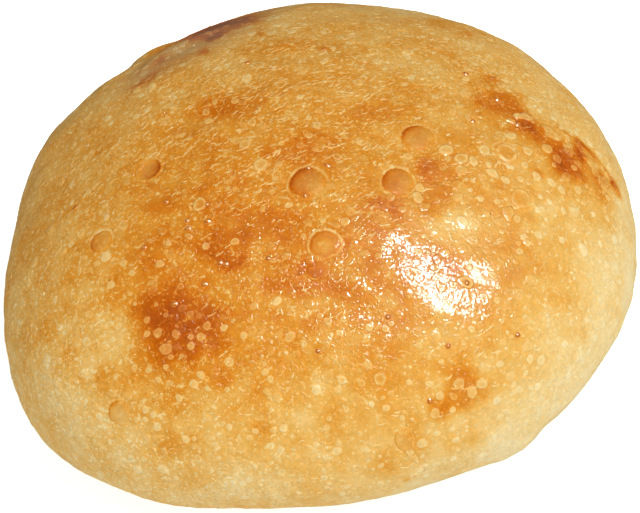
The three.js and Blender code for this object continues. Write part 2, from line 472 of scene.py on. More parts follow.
def bake_at(points, down):
    """A golden crown that fades with distance, a foot that pales most on one side, patches with ragged
    edges, some of them painted shade and painted sheen, scorching round the beads, and two sizes of
    unevenness."""
    from_heart = np.linalg.norm(points - golden_point, axis=-1)
    outwards = np.maximum(np.linalg.norm(points[..., :2], axis=-1), 1)
    toward_pale = np.maximum(0, points[..., :2] @ PALE_SIDE / outwards)
    paling = PALING + PALING_ASIDE * toward_pale**1.5
    bake = SIDE_BAKE + CROWN_BAKE * ridge(from_heart, 0, CROWN_REACH)
    bake = bake - paling * smooth(PALE_FROM, PALE_TO, down)
    bake = bake + FOOT_BROWNING * smooth(LAST_DOWN - FOOT_WIDTH, LAST_DOWN, down)
    ragged = np.maximum(RAGGED_LEAST, 1 + RAGGED_DEPTH * ripple(points, RAGGED_WAVE, SEED + 3))
    for row, *placed in zip(PATCHES, patch_turns, *patch_frames[:3]):
        bake = bake + row[5] * in_patch(points, ragged, row, *placed)
    for bead in bead_points:
        bake = bake + BEAD_BAKE * ridge(np.linalg.norm(points - bead, axis=-1), 0, BEAD_SCORCH)
    for wavelength, depth, seed in BAKE_WAVES:
        bake = bake + depth * ripple(points, wavelength, seed)
    return bake


print("bake at the golden heart:", bake_at(golden_point[None], np.array([17.0])).round(2))

# %% The calm of any place, and the painted shade on the fold
SPOT_CALM = 0.65
SPOT_EDGE = (1.45, 0.6)  # shares of a spot's size between which its calm rises
GLAZED_CALM = 0.55
GLAZED_FROM = 6  # ways out from the axis, towards the glazed side, between which the calm rises
GLAZED_TO = 38


def calm_at(points):
    """0.65 in a calm spot, falling to 0 round it, and rising gently to 0.55 on the glazed side."""
    shares = [ellipse_share(points, *placed) for placed in zip(CALM_SPOTS, *calm_frames[:3])]
    spots = SPOT_CALM * smooth(*SPOT_EDGE, np.min(shares, axis=0))
    return np.maximum(spots, GLAZED_CALM * smooth(GLAZED_FROM, GLAZED_TO, points[..., :2] @ GLAZED_SIDE))


def dull_at(points):
    """Painted shade on the fold: the largest share of any of its places."""
    rows = zip(DULL_PLACES, dull_turns, *dull_frames[:3])
    return np.max([row[5] * in_patch(points, 1, row, *placed) for row, *placed in rows], axis=0)


print("calm at the golden heart:", calm_at(golden_point[None]).round(2))

# %% [markdown]
# ## The skin
#
# The skin is one closed surface. A grid of rows and columns would crowd at the crown, as the meridians of a
# globe do. So a square grid is bent into a disc, the disc is packed a little towards the near side, where
# the eye comes closest, and its radius is turned into the way down so that every square covers about the
# same area of crust. The rim of the grid lands on the edge of the sole, and a ring and a fan of triangles
# close it underneath.

# %% A square grid bent over the roll
GRID = 314
NEAR_PULL = -0.2j  # where the grid's middle goes on the disc: this far towards -Y


def bent_square(count):
    """Square coordinates s, t turned to a disc: the larger one is the radius, and the other's share of it
    the angle."""
    s, t = np.meshgrid(np.linspace(-1, 1, count), np.linspace(-1, 1, count), indexing="ij")
    wide = np.abs(s) >= np.abs(t)
    radius = np.where(wide, s, t)
    safe = np.where(np.abs(radius) < 1e-9, 1, radius)
    angle = np.where(wide, np.pi / 4 * t / safe, np.pi / 2 - np.pi / 4 * s / safe)
    return radius * np.exp(1j * angle)


disc = bent_square(GRID)
disc = (disc + NEAR_PULL) / (1 + np.conj(NEAR_PULL) * disc)
ring_area = (section[1:, 0] + section[:-1, 0]) / 2 * steps_down
area_down = np.concatenate([[0], np.cumsum(ring_area)])
skin_bearing = np.angle(disc).ravel()
skin_down = np.interp(np.abs(disc).ravel() ** 2 * area_down[-1], area_down, section_down)
skin_point, _, _, skin_outward = crust_frame(skin_bearing, skin_down)
skin_spacing = (2 * np.pi * area_down[-1]) ** 0.5 / GRID
print("skin points:", len(skin_down), "mean spacing, mm:", round(skin_spacing, 2))

# %% [markdown]
# Large gas bubbles lift the skin. Each will be a finer patch of its own, so here the skin is only let down
# a little where one sits, to make room for it.

# %% Room for the bubbles
BUBBLES = [  # bearing, way down, length, width, rise, share of a ring in its form, paleness of its lip
    (274.5, 16.4, 5.0, 4.8, 0.32, 0, 0.9),
    (329, 20, 4.6, 4.2, 0.28, 0, 0.5),
    (306.5, 22.1, 4.2, 4.2, 0.26, 0, 0.9),
    (274, 26.6, 4.2, 3.7, 0.075, 0.1, 1.9),
    (270, 30, 2.8, 2.6, 0.025, 0, 0.1),
    (205, 30.7, 3.4, 3.2, 0.2, 0.2, 1.2),
    (227.5, 50.6, 3.2, 3.6, 0.22, 0.1, 0.4),
    (314.5, 48.4, 3.2, 3.8, 0.12, 1, 0.6),
    (326.5, 36.2, 3.2, 3.4, 0.1, 1, 0.6),
    (337, 31.8, 3.4, 3.4, 0.16, 1, 1.1),
    (351, 38.5, 3.4, 4.2, 0.06, 0.5, 0.1),
    (348, 46, 4.4, 5.2, 0.08, 0.5, 0.1),
    (278.5, 56, 2.4, 3.6, 0.2, 0.6, 0.4),
    (194, 20.1, 3.4, 3.4, -0.36, 0, 0.5),
]
BUBBLE_BED = 0.14  # how far the skin is let down under a bubble
BED_EDGE = (1.3, 1.1)  # shares of a bubble's size between which the skin goes down
PIT_ROOM = 1.2  # a bubble that has fallen in needs its own depth again, times this
FAR_AWAY = 9.0  # more sizes away than any bubble reaches
bubble_table = np.array(BUBBLES)
bubble_frames = crust_frame(np.radians(bubble_table[:, 0]), bubble_table[:, 1])
skin_rise = unevenness(skin_point, skin_down)
bubble_near = np.full(len(skin_down), FAR_AWAY)
for row, *placed in zip(BUBBLES, *bubble_frames[:3]):
    share = ellipse_share(skin_point, row, *placed)
    bed = BUBBLE_BED + max(0, -row[4]) * PIT_ROOM
    skin_rise -= bed * smooth(*BED_EDGE, share)
    bubble_near = np.minimum(bubble_near, share)
skin_vertices = skin_point + skin_outward * skin_rise[:, None]
print("skin rise, mm:", skin_rise.min().round(2), "to", skin_rise.max().round(2))

# %% [markdown]
# Every piece goes into Blender by one helper. It takes whole arrays of points, faces and attributes.
# Attributes are numbers kept on the vertices, which the materials read later: how far it is baked, with
# painted shade and sheen in places, how pale a blister has dried, how calm the surface is, and how dull,
# with painted shade on the fold.

# %% Arrays into a mesh
def make_piece(name, points, faces, underside=None, **attributes):
    """A smooth mesh object from points in millimetres, a list of face arrays and per-vertex numbers. The
    underside's faces are flat, so that they don't bend the shading at the edge they share with the rest."""
    mesh = bpy.data.meshes.new(name)
    points = (points + TO_FRAME) * MM
    smooth_count = sum(len(part) for part in faces)
    faces = faces if underside is None else [*faces, underside]
    corners = np.concatenate([np.ravel(part) for part in faces]).astype(np.int32)
    sizes = np.concatenate([np.full(len(part), part.shape[1]) for part in faces])
    starts = np.concatenate([[0], np.cumsum(sizes)[:-1]]).astype(np.int32)
    mesh.vertices.add(len(points))
    mesh.vertices.foreach_set("co", points.astype(np.float32).ravel())
    mesh.loops.add(len(corners))
    mesh.loops.foreach_set("vertex_index", corners)
    mesh.polygons.add(len(sizes))
    mesh.polygons.foreach_set("loop_start", starts)
    mesh.update(calc_edges=True)
    mesh.polygons.foreach_set("use_smooth", np.arange(len(sizes)) < smooth_count)
    for key, values in attributes.items():
        layer = mesh.attributes.new(key, "FLOAT", "POINT")
        layer.data.foreach_set("value", np.asarray(values, np.float32).ravel())
    piece = bpy.data.objects.new(name, mesh)
    bpy.context.scene.collection.objects.link(piece)
    print(name, "points", len(points), "triangles", int((sizes - 2).sum()))
    return piece


# %% The skin and its sole
SOLE_BAKE = 0.6  # the sole is browned evenly by the tray
SOLE_SHRINK = np.array([0.94, 0.94, 1])  # a ring a little inside the rim, where the even browning starts
BESIDE_BUBBLE_CALM = 0.35
BESIDE_BUBBLE = (1.5, 1.1)  # shares of a bubble's size between which that calm rises

number = np.arange(GRID * GRID).reshape(GRID, GRID)
square_corners = [number[:-1, :-1], number[1:, :-1], number[1:, 1:], number[:-1, 1:]]
squares = np.stack(square_corners, -1).reshape(-1, 4)
rim = np.concatenate([number[:-1, 0], number[-1, :-1], number[:0:-1, -1], number[0, :0:-1]])
rim_after = np.roll(rim, -1)
ring = GRID * GRID + np.arange(len(rim))
ring_after = np.roll(ring, -1)
sole_middle = np.full(len(rim), GRID * GRID + len(rim))
sole_faces = [(rim_after, rim, ring), (rim_after, ring, ring_after), (ring_after, ring, sole_middle)]
sole_points = np.vstack([skin_vertices[rim] * SOLE_SHRINK, [[0, 0, 0]]])
skin_bake = bake_at(skin_vertices, skin_down)
skin_calm = np.maximum(calm_at(skin_point), BESIDE_BUBBLE_CALM * smooth(*BESIDE_BUBBLE, bubble_near))
crust = make_piece(
    "crust",
    np.vstack([skin_vertices, sole_points]),
    [squares],
    underside=np.vstack([np.stack(corners, -1) for corners in sole_faces]),
    bake=np.append(skin_bake, np.full(len(sole_points), SOLE_BAKE)),
    pale=np.zeros(len(skin_vertices) + len(sole_points)),
    calm=np.pad(skin_calm, (0, len(sole_points))),
    dull=np.pad(dull_at(skin_vertices), (0, len(sole_points))),
)

# %% [markdown]
# ## Bubbles
#
# A large gas bubble under the skin makes a round blister whose foot meets the crust in a crease, with a
# thin dried lip round it. It could be pushed out of the skin's own squares, but they are too coarse for the
# lip. So each bubble is a round patch of finer rings that follows the crust, and the patch's edge dips back
# into the skin.

# %% The form of a bubble
BUBBLE_SHARES = np.array([0, 0.2, 0.4, 0.57, 0.71, 0.82, 0.9, 0.96, 1.0, 1.04, 1.09, 1.14, 1.2, 1.28, 1.42])
BUBBLE_SIDES = 48
BUBBLE_ANGLE = np.arange(BUBBLE_SIDES) * 2 * np.pi / BUBBLE_SIDES
CAP_SINK = 0.75  # the bubble is the top of an ellipsoid, cut where sqrt(1 - 0.75 s^2) is a half
RING_FORM = (0.74, 0.2)  # where a ring peaks and how wide it is, as shares of the bubble's size
LIP_AT = 1.14  # the dried lip
LIP_WIDTH = 0.08
LIP_RISE = 0.006
SKIRT_FROM = 1.24  # where the patch's edge starts to dip into the skin
SKIRT_DIP = 0.12  # and how far it dips


def bubble_height(share, rise, sunk):
    """Inside: a cap, 2 sqrt(1 - 0.75 s^2) - 1, mixed with a ring that peaks at 0.74. Outside: a lip, and a
    skirt that dips."""
    cap = 2 * np.sqrt(np.maximum(0, 1 - CAP_SINK * np.minimum(share, 1) ** 2)) - 1
    ring = (0.3 + 0.7 * ridge(share, *RING_FORM)) * smooth(1, 0.85, share)
    lip = LIP_RISE * ridge(share, LIP_AT, LIP_WIDTH)
    skirt = -SKIRT_DIP * smooth(SKIRT_FROM, BUBBLE_SHARES[-1], share)
    return rise * ((1 - sunk) * cap + sunk * ring) * (share < 1) + lip + skirt


def bubble_rings(length, width, turn):
    """Shares of the size, and ways round the roll and up the crust, of a middle point and rings whose
    outline wavers by 0.03 cos(2a + t) + 0.025 cos(3a + 2t)."""
    share = BUBBLE_SHARES[1:, None] * np.ones(BUBBLE_SIDES)
    waver = 1 + 0.03 * np.cos(2 * BUBBLE_ANGLE + turn) + 0.025 * np.cos(3 * BUBBLE_ANGLE + 2 * turn)
    along = share * waver * np.cos(BUBBLE_ANGLE) * length / 2
    across = share * waver * np.sin(BUBBLE_ANGLE) * width / 2
    return [np.append(0, values.ravel()) for values in (share, along, across)]


print("a bubble's middle and foot:", bubble_height(np.array([0, 1.0]), 1.0, 0.0).round(2))

# %% The browning and painted shade of a bubble
SHADE_WAY = np.array([-0.75, 0.65, 0])  # the far left side, away from the lamps, where the painted shade in a bubble's crease is darkest
LIP_WAY = np.array([0.1, 1, 0])  # the far side, where its lip is widest
CREASE = (0.97, 0.08)  # where the crease is and how wide, as shares of the bubble's size
CREASE_ALL_ROUND = 0.03  # painted shade in the crease all round, as bake
CREASE_BAKE = 0.2  # and the painted shade added on the shaded side
CRESCENT = (0.84, 0.24)  # a soft crescent of painted shade inside the crease
CRESCENT_BAKE = 0.14
PALE_RING = (0.76, 0.13)  # the dried edge of a ring
LIT_BAKE = 0.06  # painted light: how much paler the lit side is made
INSIDE_BAKE = 0.045


def faces_way(way, around, upward):
    """How far each point of the rings lies towards a way: its direction times the way, 0 in the middle."""
    facing = np.cos(BUBBLE_ANGLE) * (around @ way) + np.sin(BUBBLE_ANGLE) * (upward @ way)
    return np.append(0, np.tile(facing, len(BUBBLE_SHARES) - 1))


def bubble_browning(share, shaded, depth):
    """A little more bake inside, and painted shade in the crease at the foot and in a crescent within that,
    both mostly on the shaded side, and painted light that makes the other side paler."""
    inside = smooth(1.02, 0.9, share)
    crease = ridge(share, *CREASE) * (CREASE_ALL_ROUND + CREASE_BAKE * np.maximum(0, shaded))
    crescent = ridge(share, *CRESCENT) * CRESCENT_BAKE * np.maximum(0, shaded)
    lit = LIT_BAKE * inside * np.maximum(0, -shaded)
    return INSIDE_BAKE * inside + depth * (crease + crescent - lit)


def bubble_paleness(points, share, far, sunk):
    """A lip outside the foot, widest and palest on the far side, or a ring inside it, broken by waves."""
    broken = np.clip(0.85 + 0.4 * ripple(points, 1.1, SEED + 11), 0, 1)
    lip = ridge(share, LIP_AT, 0.07 + 0.05 * np.maximum(0, far))
    ring = sunk * ridge(share, *PALE_RING)
    return broken * np.maximum(ring, (1 - 0.6 * sunk) * lip * (0.6 + 0.4 * far))


print("bake added in a shaded crease:", bubble_browning(np.array(CREASE[:1]), 1, 1).round(2))

# %% All the bubbles
BUBBLE_CALM = 0.6  # a bubble's skin is stretched smooth
BUBBLE_DULL = 0.16  # and milky, with air behind it
FULL_RISE = 0.25  # rise from which a bubble's shading has its full depth


def bubble_patch(row, placed):
    """A bubble's points, each put on the uneven crust and lifted by the bubble's height, and its
    attributes."""
    bearing, down, length, width, rise, sunk, lip_pale = row
    _, around, upward, _ = placed
    share, along, across = bubble_rings(length, width, bearing)
    bearings = np.radians(bearing) + along / np.interp(down, section_down, section[:, 0])
    downs = down - across
    point, _, _, outward = crust_frame(bearings, downs)
    lift = unevenness(point, downs) + bubble_height(share, rise, sunk)
    shaded = faces_way(SHADE_WAY, around, upward) * np.sign(rise)
    far = faces_way(LIP_WAY, around, upward)
    depth = (1 - 0.7 * sunk) * min(1, abs(rise) / FULL_RISE)
    return {
        "points": point + outward * lift[:, None],
        "bake": bake_at(point, downs) + bubble_browning(share, shaded, depth),
        "pale": lip_pale * bubble_paleness(point, share, far, sunk),
        "calm": BUBBLE_CALM * smooth(1.1, 0.9, share),
        "dull": BUBBLE_DULL * depth * smooth(1.0, 0.6, share) * (1 - np.maximum(0, shaded) * share),
    }


def ring_faces(sides, rings):
    """A fan round point 0 and squares between one ring and the next."""
    here = np.arange(sides)
    after = np.roll(here, -1)
    fan = np.stack([np.zeros(sides, int), 1 + here, 1 + after], -1)
    inner = 1 + sides * np.arange(rings - 1)[:, None]
    outer = inner + sides
    quads = np.stack([inner + here, outer + here, outer + after, inner + after], -1)
    return fan, quads.reshape(-1, 4)


bubble_parts = [bubble_patch(row, placed) for row, placed in zip(BUBBLES, zip(*bubble_frames))]
bubble_arrays = {key: np.concatenate([part[key] for part in bubble_parts]) for key in bubble_parts[0]}
bubble_points = bubble_arrays.pop("points")
fan_one, quads_one = ring_faces(BUBBLE_SIDES, len(BUBBLE_SHARES) - 1)
jumps = (len(bubble_parts[0]["points"]) * np.arange(len(BUBBLES)))[:, None, None]
bubble_faces = [(fan_one + jumps).reshape(-1, 3), (quads_one + jumps).reshape(-1, 4)]
bubbles = make_piece("bubbles", bubble_points, bubble_faces, **bubble_arrays)

# %% [markdown]
# ## Blisters
#
# A slow, cold proof leaves fine gas just under the skin, which the oven lifts into hundreds of low blisters
# of half a millimetre to two. They dry first, so they stay paler than the crust round them. Instances of
# one bead would all be alike. Here one function makes every cap at once, as arrays: some are domes, some
# rings, all a little out of round, each closed underneath with its foot sunk in the crust.

# %% The form of a cap
CAP_LOBES = [(2, 0.5), (3, 0.4), (5, 0.4)]  # how a cap is out of round: number of lobes, share of the waver


def cap_height(share, dish):
    """A dome, (1 - s^2)^1.2, mixed by the dish with a ring that peaks at 0.66; both end at the foot."""
    dome = np.maximum(0, 1 - share**2) ** 1.2
    ring = (0.3 + 0.7 * ridge(share, 0.66, 0.24)) * (1 - share**4)
    return (1 - dish) * dome + dish * ring


def cap_paleness(share, dish):
    """Pale all over with a paler edge inside the foot, or the edge alone for a ring, and 0 at the foot."""
    edge = ridge(share, 0.74, 0.2)
    return ((1 - dish) * (0.8 + 0.2 * edge) + dish * (0.15 + 0.85 * edge)) * smooth(1, 0.68, share)


def cap_rings(count, sizes, turns, bends, shares, sides, waver, seed):
    """Ways round the roll and up the crust of every point of many caps: a top point, wavy rings at the
    given shares of the size, and a root point. The bend moves them sideways by the square of the way
    along."""
    draw = np.random.default_rng(seed)
    angle = np.arange(sides) * 2 * np.pi / sides
    shifts = draw.uniform(0, 2 * np.pi, (len(CAP_LOBES), count, 1))
    lobes = [depth * np.cos(lobe * angle + shift) for (lobe, depth), shift in zip(CAP_LOBES, shifts)]
    wave = 1 + waver * sum(lobes)
    share = (shares[None, :, None] * wave[:, None, :]).reshape(count, -1)
    angles = np.tile(angle, len(shares))
    a = np.pad(share * np.cos(angles), ((0, 0), (1, 1)))
    b = np.pad(share * np.sin(angles), ((0, 0), (1, 1))) * sizes[:, 1:] / 2 + bends[:, None] * a**2
    a = a * sizes[:, :1] / 2
    turn = turns[:, None]
    return a * np.cos(turn) - b * np.sin(turn), a * np.sin(turn) + b * np.cos(turn)


def cap_faces(count, sides, rings):
    """The faces of one cap, a fan and bands of squares, and the fan underneath, repeated for every cap."""
    fan, quads = ring_faces(sides, rings)
    last = 1 + sides * (rings - 1) + np.arange(sides)
    root = np.full(sides, 1 + sides * rings)
    under = np.stack([np.roll(last, -1), last, root], -1)
    jumps = ((2 + sides * rings) * np.arange(count))[:, None, None]
    return [(fan + jumps).reshape(-1, 3), (quads + jumps).reshape(-1, 4)], (under + jumps).reshape(-1, 3)


print("a dome's height at its top and its foot:", cap_height(np.array([0, 1.0]), 0).round(2))

# %% Many caps as one piece
CAP_ROOT = 0.25  # depth of the point that closes a cap below the crust
CAP_SINK_IN = 0.015  # depth of a cap's foot below the crust
RIM_BAKE = 0.05  # how much darker the crust is made at a cap's foot


def over_crust(places_at, along, across):
    """Bearings and ways down of points so far round the roll and up the crust from given places."""
    bearings, downs = places_at
    reach = np.maximum(1, np.interp(downs, section_down, section[:, 0]))
    return bearings[:, None] + along / reach[:, None], np.abs(downs[:, None] - across)


def make_caps(
    name, places_at, sizes, turns, rises, dishes, paleness,
    bends=0.0, calm=0.0, shares=(0.6, 1), sides=8, waver=0.1, seed=0,
):
    """A piece of many caps that follow the uneven crust, with the crust's baking and painted shading, and
    their own paleness.
    """
    count = len(turns)
    shares = np.array(shares, float)
    bends = np.broadcast_to(np.asarray(bends, float), count)
    along, across = cap_rings(count, sizes, turns, bends, shares, sides, waver, seed)
    bearing, down = over_crust(places_at, along, across)
    point, _, _, outward = crust_frame(bearing, down)
    share = np.concatenate([[0], np.repeat(shares, sides), [1]])[None]
    height = rises[:, None] * cap_height(share, dishes[:, None])
    height[:, -1 - sides : -1] -= CAP_SINK_IN
    height[:, -1] -= CAP_ROOT
    lifted = point + outward * (unevenness(point, down) + height)[..., None]
    faces, underside = cap_faces(count, sides, len(shares))
    return make_piece(
        name,
        lifted.reshape(-1, 3),
        faces,
        underside=underside,
        bake=bake_at(point, down) + RIM_BAKE * ridge(share, 1, 0.1),
        pale=cap_paleness(share, dishes[:, None]) * paleness[:, None],
        calm=np.full(share.shape[1] * count, calm),
        dull=dull_at(point),
    )


# %% [markdown]
# The blisters that stand out are listed by their pixels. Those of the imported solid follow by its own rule,
# and seeded ones fill the rest, the largest first. A blister that would crowd one before it, or sit on a
# bubble or a calm spot, is left out.

# %% Blisters that stand out, as the photo shows them
DISCS = [  # pixel, size, share of a ring in its form
    (484, 151, 2.0, 0.7), (461, 159, 2.1, 0.8), (446, 150, 2.3, 0.3), (408, 156, 1.4, 0.6),
    (337, 156, 1.5, 0.8), (377, 61, 1.6, 0.7), (408, 52, 1.8, 0.8), (411, 77, 1.3, 0.1),
    (358, 82, 1.7, 0.7), (466, 79, 1.4, 0), (511, 136, 1.9, 0.1), (492, 174, 1.8, 0.1),
    (505, 181, 1.5, 0.1), (527, 152, 1.7, 0.7), (547, 149, 2.1, 0.2), (557, 159, 1.8, 0.2),
    (536, 177, 1.7, 0.1), (551, 183, 1.7, 0), (561, 190, 1.6, 0), (578, 190, 1.7, 0.1),
    (206, 112, 1.4, 0.4), (245, 144, 1.9, 0.7), (261, 165, 2.5, 0.6), (317, 125, 1.5, 0.5),
    (309, 136, 1.3, 0.3), (324, 62, 1.3, 0.6), (106, 257, 1.8, 0.1), (81, 233, 1.5, 0.8),
    (111, 285, 1.4, 0.1), (160, 264, 1.4, 0.1), (158, 333, 1.6, 0.1), (176, 334, 1.4, 0),
    (147, 334, 1.1, 0.1), (201, 337, 1.4, 0.1), (207, 326, 1.4, 0.2), (166, 349, 2.1, 0.1),
    (191, 346, 1.3, 0), (171, 357, 1.0, 0), (224, 328, 1.2, 0.1), (201, 375, 1.4, 0.1),
    (194, 384, 1.5, 0.2), (179, 398, 1.3, 0.1), (145, 410, 1.2, 0.2), (157, 427, 1.5, 0.1),
    (145, 420, 1.0, 0.1), (136, 420, 1.0, 0.3), (163, 469, 1.9, 0.1), (138, 469, 1.7, 0.2),
    (186, 439, 1.4, 0.1), (87, 342, 1.6, 0.8), (244, 336, 1.2, 0.1), (290, 337, 1.7, 0.2),
    (342, 380, 1.5, 0.6), (380, 379, 2.0, 0.8), (386, 408, 1.2, 0.3), (316, 390, 1.7, 0),
    (283, 429, 1.4, 0.2), (281, 450, 1.2, 0.1), (337, 452, 1.6, 0.2), (324, 477, 1.2, 0.2),
    (422, 443, 1.8, 0.1), (459, 384, 1.9, 0.2), (472, 392, 2.0, 0.1), (482, 384, 1.8, 0.1),
    (440, 396, 1.5, 0.1), (435, 413, 1.7, 0.2), (500, 364, 1.3, 0.1), (530, 359, 1.3, 0.1),
    (541, 360, 1.6, 0.4), (564, 344, 1.3, 0.1), (594, 338, 1.4, 0.1), (583, 373, 2.0, 0.5),
    (497, 401, 1.4, 0), (462, 222, 2.0, 0.3), (466, 282, 2.2, 0.7), (323, 221, 1.0, 0.1),
    (345, 222, 1.5, 0.1), (235, 242, 1.4, 0.2), (420, 187, 1.6, 0.2), (418, 197, 1.9, 0.1),
    (506, 80, 1.1, 0), (501, 84, 1.6, 0.9), (538, 99, 1.4, 0.7), (540, 110, 1.1, 0), (554, 119, 1.2, 0),
    (561, 128, 1.1, 0), (576, 133, 1.2, 0), (590, 144, 1.3, 0), (601, 138, 1.2, 0),
    (473, 162, 1.6, 0.2), (524, 166, 1.3, 0.3), (480, 199, 1.2, 0), (497, 202, 1.0, 0),
    (517, 219, 1.3, 0.6), (540, 197, 1.0, 0), (549, 202, 1.0, 0), (538, 210, 1.0, 0.2),
    (563, 211, 1.3, 0), (594, 214, 1.1, 0), (608, 218, 1.2, 0), (538, 235, 1.4, 0.1),
    (523, 237, 1.0, 0), (562, 240, 1.3, 0.1), (584, 250, 2.0, 0), (600, 244, 1.1, 0),
    (614, 239, 1.7, 0), (520, 251, 1.2, 0.3), (526, 373, 1.0, 0), (567, 375, 1.2, 0),
    (587, 352, 1.2, 0.3), (453, 410, 1.1, 0), (429, 384, 1.2, 0.2), (452, 429, 1.0, 0),
    (402, 418, 1.0, 0.1), (381, 465, 1.1, 0), (482, 455, 1.6, 0), (503, 442, 1.0, 0),
    (453, 458, 1.2, 0), (342, 493, 1.2, 0), (357, 496, 1.2, 0), (147, 320, 1.2, 0), (166, 315, 0.9, 0),
    (191, 337, 1.0, 0), (148, 370, 1.1, 0.1), (158, 380, 1.1, 0), (166, 367, 1.0, 0),
    (229, 362, 1.6, 0.2), (153, 415, 1.2, 0), (110, 442, 1.0, 0), (277, 301, 1.5, 0),
    (200, 205, 2.4, 1.0), (144, 73, 1.6, 0.2), (145, 67, 1.4, 0), (160, 74, 1.2, 0), (165, 72, 1.1, 0),
    (183, 66, 1.4, 0.2), (136, 82, 1.2, 0), (168, 58, 1.0, 0), (175, 48, 1.0, 0), (182, 45, 1.1, 0),
    (179, 51, 1.0, 0), (208, 33, 1.4, 0), (212, 36, 1.0, 0), (248, 24, 1.2, 0), (249, 27, 1.2, 0.1),
    (252, 33, 1.6, 0.2), (240, 20, 1.4, 0), (272, 33, 1.9, 0.2), (292, 32, 1.6, 0.2), (262, 19, 1.4, 0),
    (269, 20, 1.2, 0), (277, 18, 1.2, 0), (286, 26, 1.2, 0.1), (247, 78, 2.1, 0.1), (258, 65, 2.6, 0.9),
    (208, 120, 1.5, 0.1), (215, 102, 1.2, 0), (235, 101, 1.5, 0.1), (252, 123, 1.4, 0.7),
    (173, 98, 1.4, 0.8), (148, 111, 1.1, 0), (137, 117, 1.5, 0.1), (108, 118, 1.4, 0),
    (111, 123, 1.2, 0),
]
disc_table = np.array(DISCS)
disc_bearing, disc_down = places(DISCS)
print("listed blisters:", len(DISCS))

# %% Places that keep apart
NEAR_BEARING = np.radians(290)  # the side where blisters are densest
NEAR_MEAN = 0.68  # share of the tries that is kept, on the mean of all sides
NEAR_SWING = 0.32  # and how much more on the near side, or less on the far one
draw = np.random.default_rng(SEED + 6)


def apart(places_in, sizes, crowding):
    """Keeps a place only if it is clear of all kept before it: a dart is thrown, and stays or is taken
    back."""
    kept = []
    for index, place in enumerate(places_in):
        gaps = np.linalg.norm(places_in[kept] - place, axis=1) if kept else np.array([FAR_AWAY])
        room = crowding * (sizes[kept] + sizes[index]) / 2 if kept else np.array([0.0])
        if np.all(gaps > room):
            kept.append(index)
    return np.array(kept)


def clear_of_bubbles(points, margin):
    """True where a point is outside every bubble's ellipse, grown by the margin."""
    shares = [ellipse_share(points, *placed) for placed in zip(BUBBLES, *bubble_frames[:3])]
    return np.min(shares, axis=0) > margin


def seeded_places(count, farthest=0.93):
    """Places spread evenly over the crust and then thinned on the far side."""
    down = np.interp(draw.uniform(0, farthest, count) * area_down[-1], area_down, section_down)
    bearing = draw.uniform(0, 2 * np.pi, count)
    near = NEAR_MEAN + NEAR_SWING * np.cos(bearing - NEAR_BEARING) * smooth(5, 25, down)
    wanted = draw.uniform(0, 1, count) < near
    return bearing[wanted], down[wanted]


print("share of the tries kept on the far side:", round(NEAR_MEAN - NEAR_SWING, 2))

# %% Where all the blisters are
RULE_COUNT = 84
BEARING_STEP = 0.7548776662  # two steps that fill a square evenly, and one for the sizes
DOWN_STEP = 0.569840291
SIZE_STEP = 0.6180339887
RULE_SMALLEST = 1.4
RULE_SPREAD = 0.9  # how much larger the largest of the rule are
LAST_BLISTER_DOWN = 64
SEEDED_TRIES = 6500
SEEDED_SMALLEST = 0.38
SEEDED_SPREAD = 1.2
SEEDED_POWER = 3.2  # a high power makes most of them small
RIGHT_GROWTH = 0.3  # how much larger they are on the right
CROWDING = 0.8  # the least gap between two blisters, as a share of their mean size
CALMEST = 0.56  # calmer places than this have only listed blisters
BUBBLE_MARGIN = 1.2  # how far a blister keeps away from a bubble, as a share of the bubble's size
LARGE_FROM = 0.8  # smaller blisters than this are the fine ones

seeded_bearing, seeded_down = seeded_places(SEEDED_TRIES)
seeded_across = SEEDED_SMALLEST + SEEDED_SPREAD * draw.uniform(0, 1, len(seeded_down)) ** SEEDED_POWER
to_the_right = smooth(5, 30, dough(seeded_bearing, seeded_down)[:, 0])
seeded_across = seeded_across * (1 + RIGHT_GROWTH * to_the_right)
largest_first = np.argsort(-seeded_across)
rule = np.arange(1, RULE_COUNT + 1)
rule_bearing = 2 * np.pi * (rule * BEARING_STEP % 1)
rule_down = LAST_BLISTER_DOWN * np.sqrt(rule * DOWN_STEP % 1)
rule_across = RULE_SMALLEST + RULE_SPREAD * (rule * SIZE_STEP % 1) ** 2
blister_bearing = np.concatenate([disc_bearing, rule_bearing, seeded_bearing[largest_first]])
blister_down = np.concatenate([disc_down, rule_down, seeded_down[largest_first]])
blister_across = np.concatenate([disc_table[:, 2], rule_across, seeded_across[largest_first]])
blister_point = dough(blister_bearing, blister_down)
kept = apart(blister_point, blister_across, CROWDING)
kept = kept[clear_of_bubbles(blister_point[kept], BUBBLE_MARGIN)]
kept = kept[(kept < len(DISCS)) | (calm_at(blister_point[kept]) < CALMEST)]
large = blister_across[kept] > LARGE_FROM
print("blisters:", len(kept), "of which large:", int(large.sum()))

# %% Large blisters and fine ones
BLISTER_CALM = 0.35
STRETCHES = (0.88, 1.14)  # least and most, as in the other pairs
RINGED_SHARE = 0.25  # how many of the unlisted ones are rings
RING_DISHES = (0.5, 1)  # share of a ring in the form of those
DOME_DISHES = (0, 0.3)  # and of the others
RISE_SPREAD = (0.6, 1.5)
LISTED_PALENESS = (0.7, 1)
LEAST_PALENESS = 0.2  # of the unlisted ones


